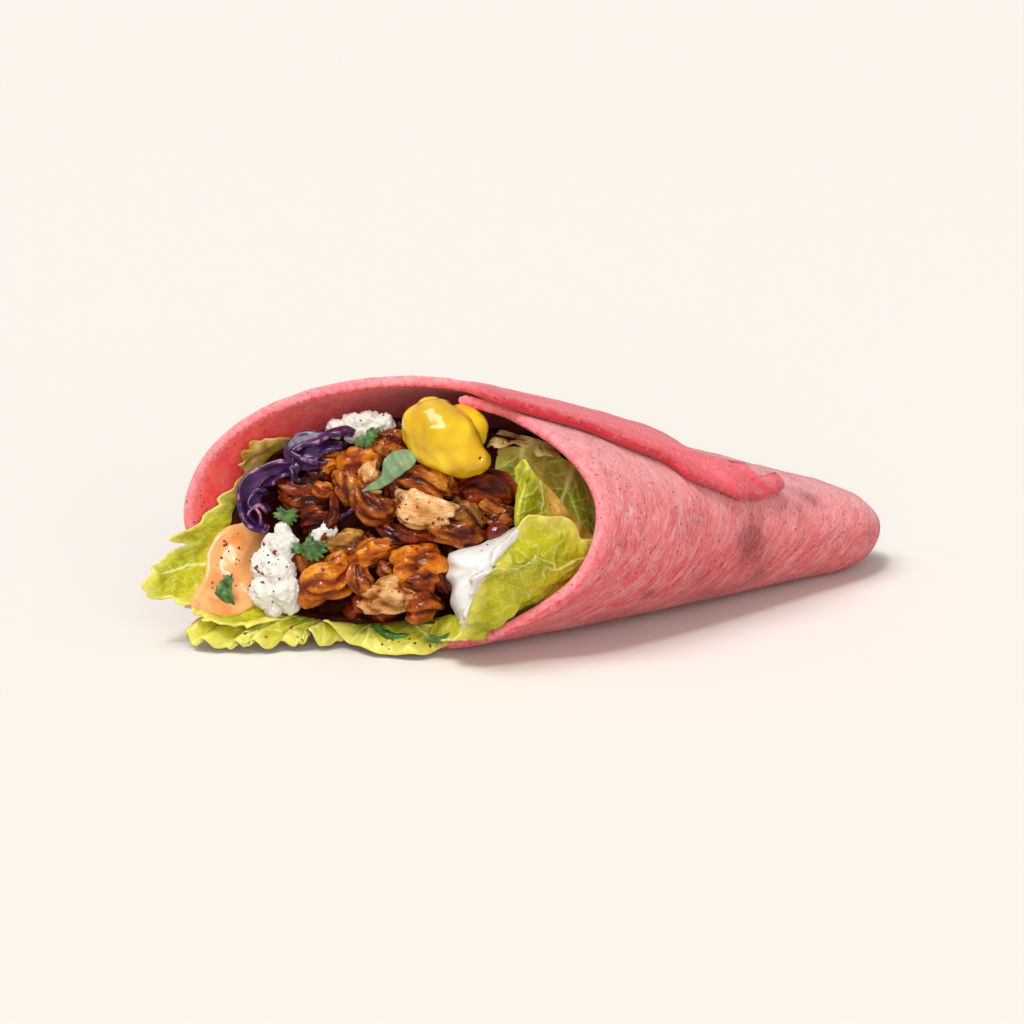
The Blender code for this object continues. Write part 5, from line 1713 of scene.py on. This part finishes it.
        cheese = plain_finish("crumbled_white_cheese", "#D2CAC0", "#E3DDD4", 3.0, 0.3, Roughness=0.78,
                              Subsurface_Weight=0.35, Subsurface_Radius=(1.0, 0.9, 0.75),
                              Subsurface_Scale=0.0015)
        clumps = [
            Crumble("cheese_front", "feta_front", (
                (-38.2, -24.0, 3, 5.2), (-31.0, -23.6, 3.5, 5.0), (-39.0, -15.6, 3, 4.8),
                (-33.8, -17.4, 4, 5.2), (-33.4, -9.4, 4, 4.6), (-38.2, -9.4, 1, 3.6), (-30.2, -27.0, 2, 3.4),
                (-27.6, -22.6, 2.4, 3.0), (-35.2, -29.4, 1.6, 2.6), (-34.4, -4.8, 3.6, 2.6)), crumbs=420),
            Crumble("cheese_small", "feta_small", ((-23.6, -5.6, 1, 2.4), (-20.6, -3.6, 1, 2.6)), 0.32, 50),
            Crumble("cheese_back", "feta_back", (
                (-24.5, 29.0, -8, 3.2), (-19.6, 30.6, -8, 3.6), (-14.6, 31.8, -9, 3.6),
                (-9.4, 31.2, -9, 3.4), (-13.0, 28.6, -8, 3.0), (-18.6, 27.4, -7, 2.8)), crumbs=260),
        ]
        for clump in clumps:
            made[clump.name] = clump.build(cheese, rng)

        white = plain_finish("garlic_yoghurt_sauce", "#DCD6D0", "#E7E2DE", 6.0, 0.1, Roughness=0.28,
                             Coat_Weight=0.3, Subsurface_Weight=0.25, Subsurface_Scale=0.0015)
        made["white_sauce"] = Pool("white_sauce_pool", "white_sauce", (
            (448, 553), (460, 549), (472, 547), (483, 543), (492, 538), (503, 533), (512, 528), (519, 525),
            (521, 532), (516, 541), (504, 554), (495, 562), (493, 571), (484, 581), (475, 594), (469, 610),
            (466, 630), (461, 628), (455, 614), (449, 602), (452, 586), (444, 577), (450, 568), (446, 560)),
            4.0, (474, 572), softening=1500, spans=True).build(white, "white_sauce", beneath + [near_leaf])
        orange = plain_finish("chilli_mayonnaise", "#DE8844", "#EBB072", 9.0, 0.1, Roughness=0.3,
                              Coat_Weight=0.35, Subsurface_Weight=0.2, Subsurface_Scale=0.0015)
        made["orange_sauce"] = Pool("orange_sauce_pool", "orange_sauce", (
            (183, 608), (194, 591), (204, 577), (206, 553), (216, 533), (232, 524), (247, 520), (262, 524),
            (268, 540), (266, 560), (262, 580), (258, 604), (240, 616), (222, 618), (204, 613)),
            3.2, (234, 572)).build(orange, "orange_sauce", beneath)
        return made

    def herbs(self) -> list[bpy.types.Object]:
        """Makes the herb leaves."""
        parsley = plain_finish("chopped_parsley", "#24431A", "#5C7C38", 2.4, 0.25, Roughness=0.45)
        mint = plain_finish("fresh_mint", "#6C825C", "#82966C", 3.4, 0.2, Roughness=0.5)
        table = [
            ("mint_leaf", "herb_leaf", ((-9.8, 8.4, 6.4), (-3.6, 9.6, 6.8), (0.3, 12.2, 7), (3.5, 14.8, 7.2),
             (6.9, 18.7, 7), (6.2, 21.2, 6.6), (4.7, 21.8, 6.6), (-0.5, 21.0, 7.2), (-2.9, 18.6, 7.6),
             (-3.4, 15.0, 7.6), (-3.8, 11.6, 7), (-6.2, 9.8, 6.6)), 0.0, mint),
            ("parsley_lower_left", "herb_lower_left", ((-56.6, -27.8, 4.6), (-54.0, -25.6, 5.4),
             (-52.2, -21.6, 5.8), (-48.8, -19.2, 5.6), (-47.6, -25.0, 6.2), (-46.9, -30.4, 5.4),
             (-51.1, -32.8, 4.4), (-54.8, -31.0, 4.2)), 0.12, parsley),
            ("parsley_middle", "herb_middle", ((-31.2, -11.8, 6), (-30.0, -8.6, 6), (-27.1, -9.0, 6.4),
             (-24.7, -5.1, 6), (-22.0, -7.6, 6.2), (-18.6, -8.0, 5.6), (-19.4, -12.4, 5.8), (-23.5, -14.5, 6),
             (-27.0, -12.2, 6.4)), 0.25, parsley),
            ("parsley_on_cheese", "herb_on_cheese", ((-38.0, -0.8, 5), (-36.0, 2.4, 5.2), (-33.0, 1.4, 5.6),
             (-30.0, 2.2, 5), (-29.4, -1.2, 5), (-31.2, -3.4, 5), (-34.6, -2.4, 5.4)), 0.3, parsley),
            ("parsley_top", "herb_top", ((-15.6, 22.6, 2), (-14.2, 25.6, 1.4), (-12.0, 25.4, 1.6),
             (-11.4, 28.4, 0.6), (-7.4, 29.0, 0.2), (-7.8, 26.2, 1.2), (-9.6, 22.6, 2.0)), 0.25, parsley),
            ("parsley_front", "herb_front", ((13.0, -35.0, 1), (15.4, -33.0, 1.2), (18.4, -33.4, 1.4),
             (21.2, -32.0, 1), (20.6, -34.2, 1), (17.4, -35.6, 0.8)), 0.25, parsley),
        ]
        return [HerbLeaf(name, solid, outline, teeth=teeth).build(look)
                for name, solid, outline, teeth, look in table]

    def spice(self, targets: list[bpy.types.Object]) -> bpy.types.Object:
        """Makes the chilli flakes."""
        rng = np.random.default_rng(self.seed + 1)
        spots = (
            (262, 562, 20, 30, 34), (232, 556, 14, 24, 14), (222, 590, 12, 10, 8), (420, 530, 36, 16, 40),
            (385, 440, 16, 14, 26), (350, 415, 34, 10, 18), (345, 570, 40, 22, 22), (410, 600, 40, 16, 16),
            (400, 640, 30, 8, 12), (290, 636, 40, 8, 6), (495, 545, 14, 10, 3), (400, 500, 50, 30, 24),
        )
        flakes = scatter_flakes("chilli_flakes", spots, (0.45, 1.35), targets, rng)
        look = plain_finish("dried_chilli", "#5A0E08", "#A02A14", 1.0, Roughness=0.5)
        return settle(flakes, look, "meat", "meat_heap")


# Stage


@dataclass(frozen=True)
class Lamp:
    """One wide soft light: its strength, its place, its width in degrees and whether it leaves a glare."""

    name: str
    strength: float
    place: tuple
    width: float
    glare: bool = True

    def add(self) -> None:
        """Hangs the lamp."""
        sun = bpy.data.lights.new(self.name, "SUN")
        sun.energy, sun.angle = self.strength, math.radians(self.width)
        made = bpy.data.objects.new(self.name, sun)
        made.visible_glossy = self.glare
        made.rotation_euler = Vector(self.place).to_track_quat("Z", "Y").to_euler()
        bpy.context.scene.collection.objects.link(made)


@dataclass
class Studio:
    """Pale floor, soft light from the upper left with a low fill from the front, and the camera."""

    sky: float = 0.33
    sky_colour: tuple = (0.92, 1.0, 0.96, 1.0)
    suns: tuple = (Lamp("key", 1.86, (-0.45, 0.05, 1.0), 38.0), Lamp("spark", 0.6, (-0.5, -0.2, 1.0), 8.0),
                   Lamp("fill", 2.7, (-0.5, -1.0, 0.16), 60.0, False))
    floor_colour: str = "#ECE3DC"
    floor_bounce: str = "#C8C0B6"
    floor_size: float = 30.0
    floor_drop: float = 0.0002
    far_clip: float = 200.0

    def floor(self) -> None:
        """Adds the seamless floor."""
        shape = bmesh.new()
        bmesh.ops.create_grid(shape, x_segments=1, y_segments=1, size=self.floor_size)
        made = finish_mesh("pale_floor", shape)
        f = Finish("matt_studio_paper")
        seen = node(f.tree, "LightPath", output="Is Camera Ray")
        paper = f.paint(self.floor_bounce, Layer(seen, 0.0, 1.0, self.floor_colour))
        made.data.materials.append(f.dress(paper, Roughness=0.9, Specular_IOR_Level=0.1))
        made.location.z = -self.floor_drop

    def light(self) -> None:
        """Adds the lamps and the even sky."""
        for lamp in self.suns:
            lamp.add()
        world = bpy.context.scene.world or bpy.data.worlds.new("studio")
        bpy.context.scene.world = world
        world.use_nodes = True
        sky = world.node_tree.nodes["Background"]
        sky.inputs["Color"].default_value = self.sky_colour
        sky.inputs["Strength"].default_value = self.sky

    def camera(self) -> None:
        """Adds the camera at the photograph's angle."""
        lens = bpy.data.cameras.new("camera")
        lens.lens, lens.sensor_width, lens.clip_end = SIGHT.lens, SIGHT.sensor, self.far_clip
        made = bpy.data.objects.new("camera", lens)
        made.location = SIGHT.eye()
        made.rotation_euler = SIGHT.away().to_track_quat("Z", "Y").to_euler()
        bpy.context.scene.collection.objects.link(made)
        bpy.context.scene.camera = made

    def build(self) -> None:
        """Sets up the whole stage."""
        bpy.context.scene.view_settings.view_transform = "Standard"
        self.floor()
        self.light()
        self.camera()


def main() -> None:
    """Builds every sub-assembly in order."""
    LOG.info("flatbread")
    Flatbread().build()
    LOG.info("lettuce")
    leaves = Lettuce().build()
    LOG.info("filling")
    meat = Filling().build()
    LOG.info("toppings")
    toppings = Toppings()
    made = toppings.build(leaves[:3] + meat, leaves[3])
    toppings.herbs()
    toppings.spice(meat + leaves + [piece for name, piece in made.items() if name != "pepper"])
    Studio().build()


if __name__ == "__main__":
    main()
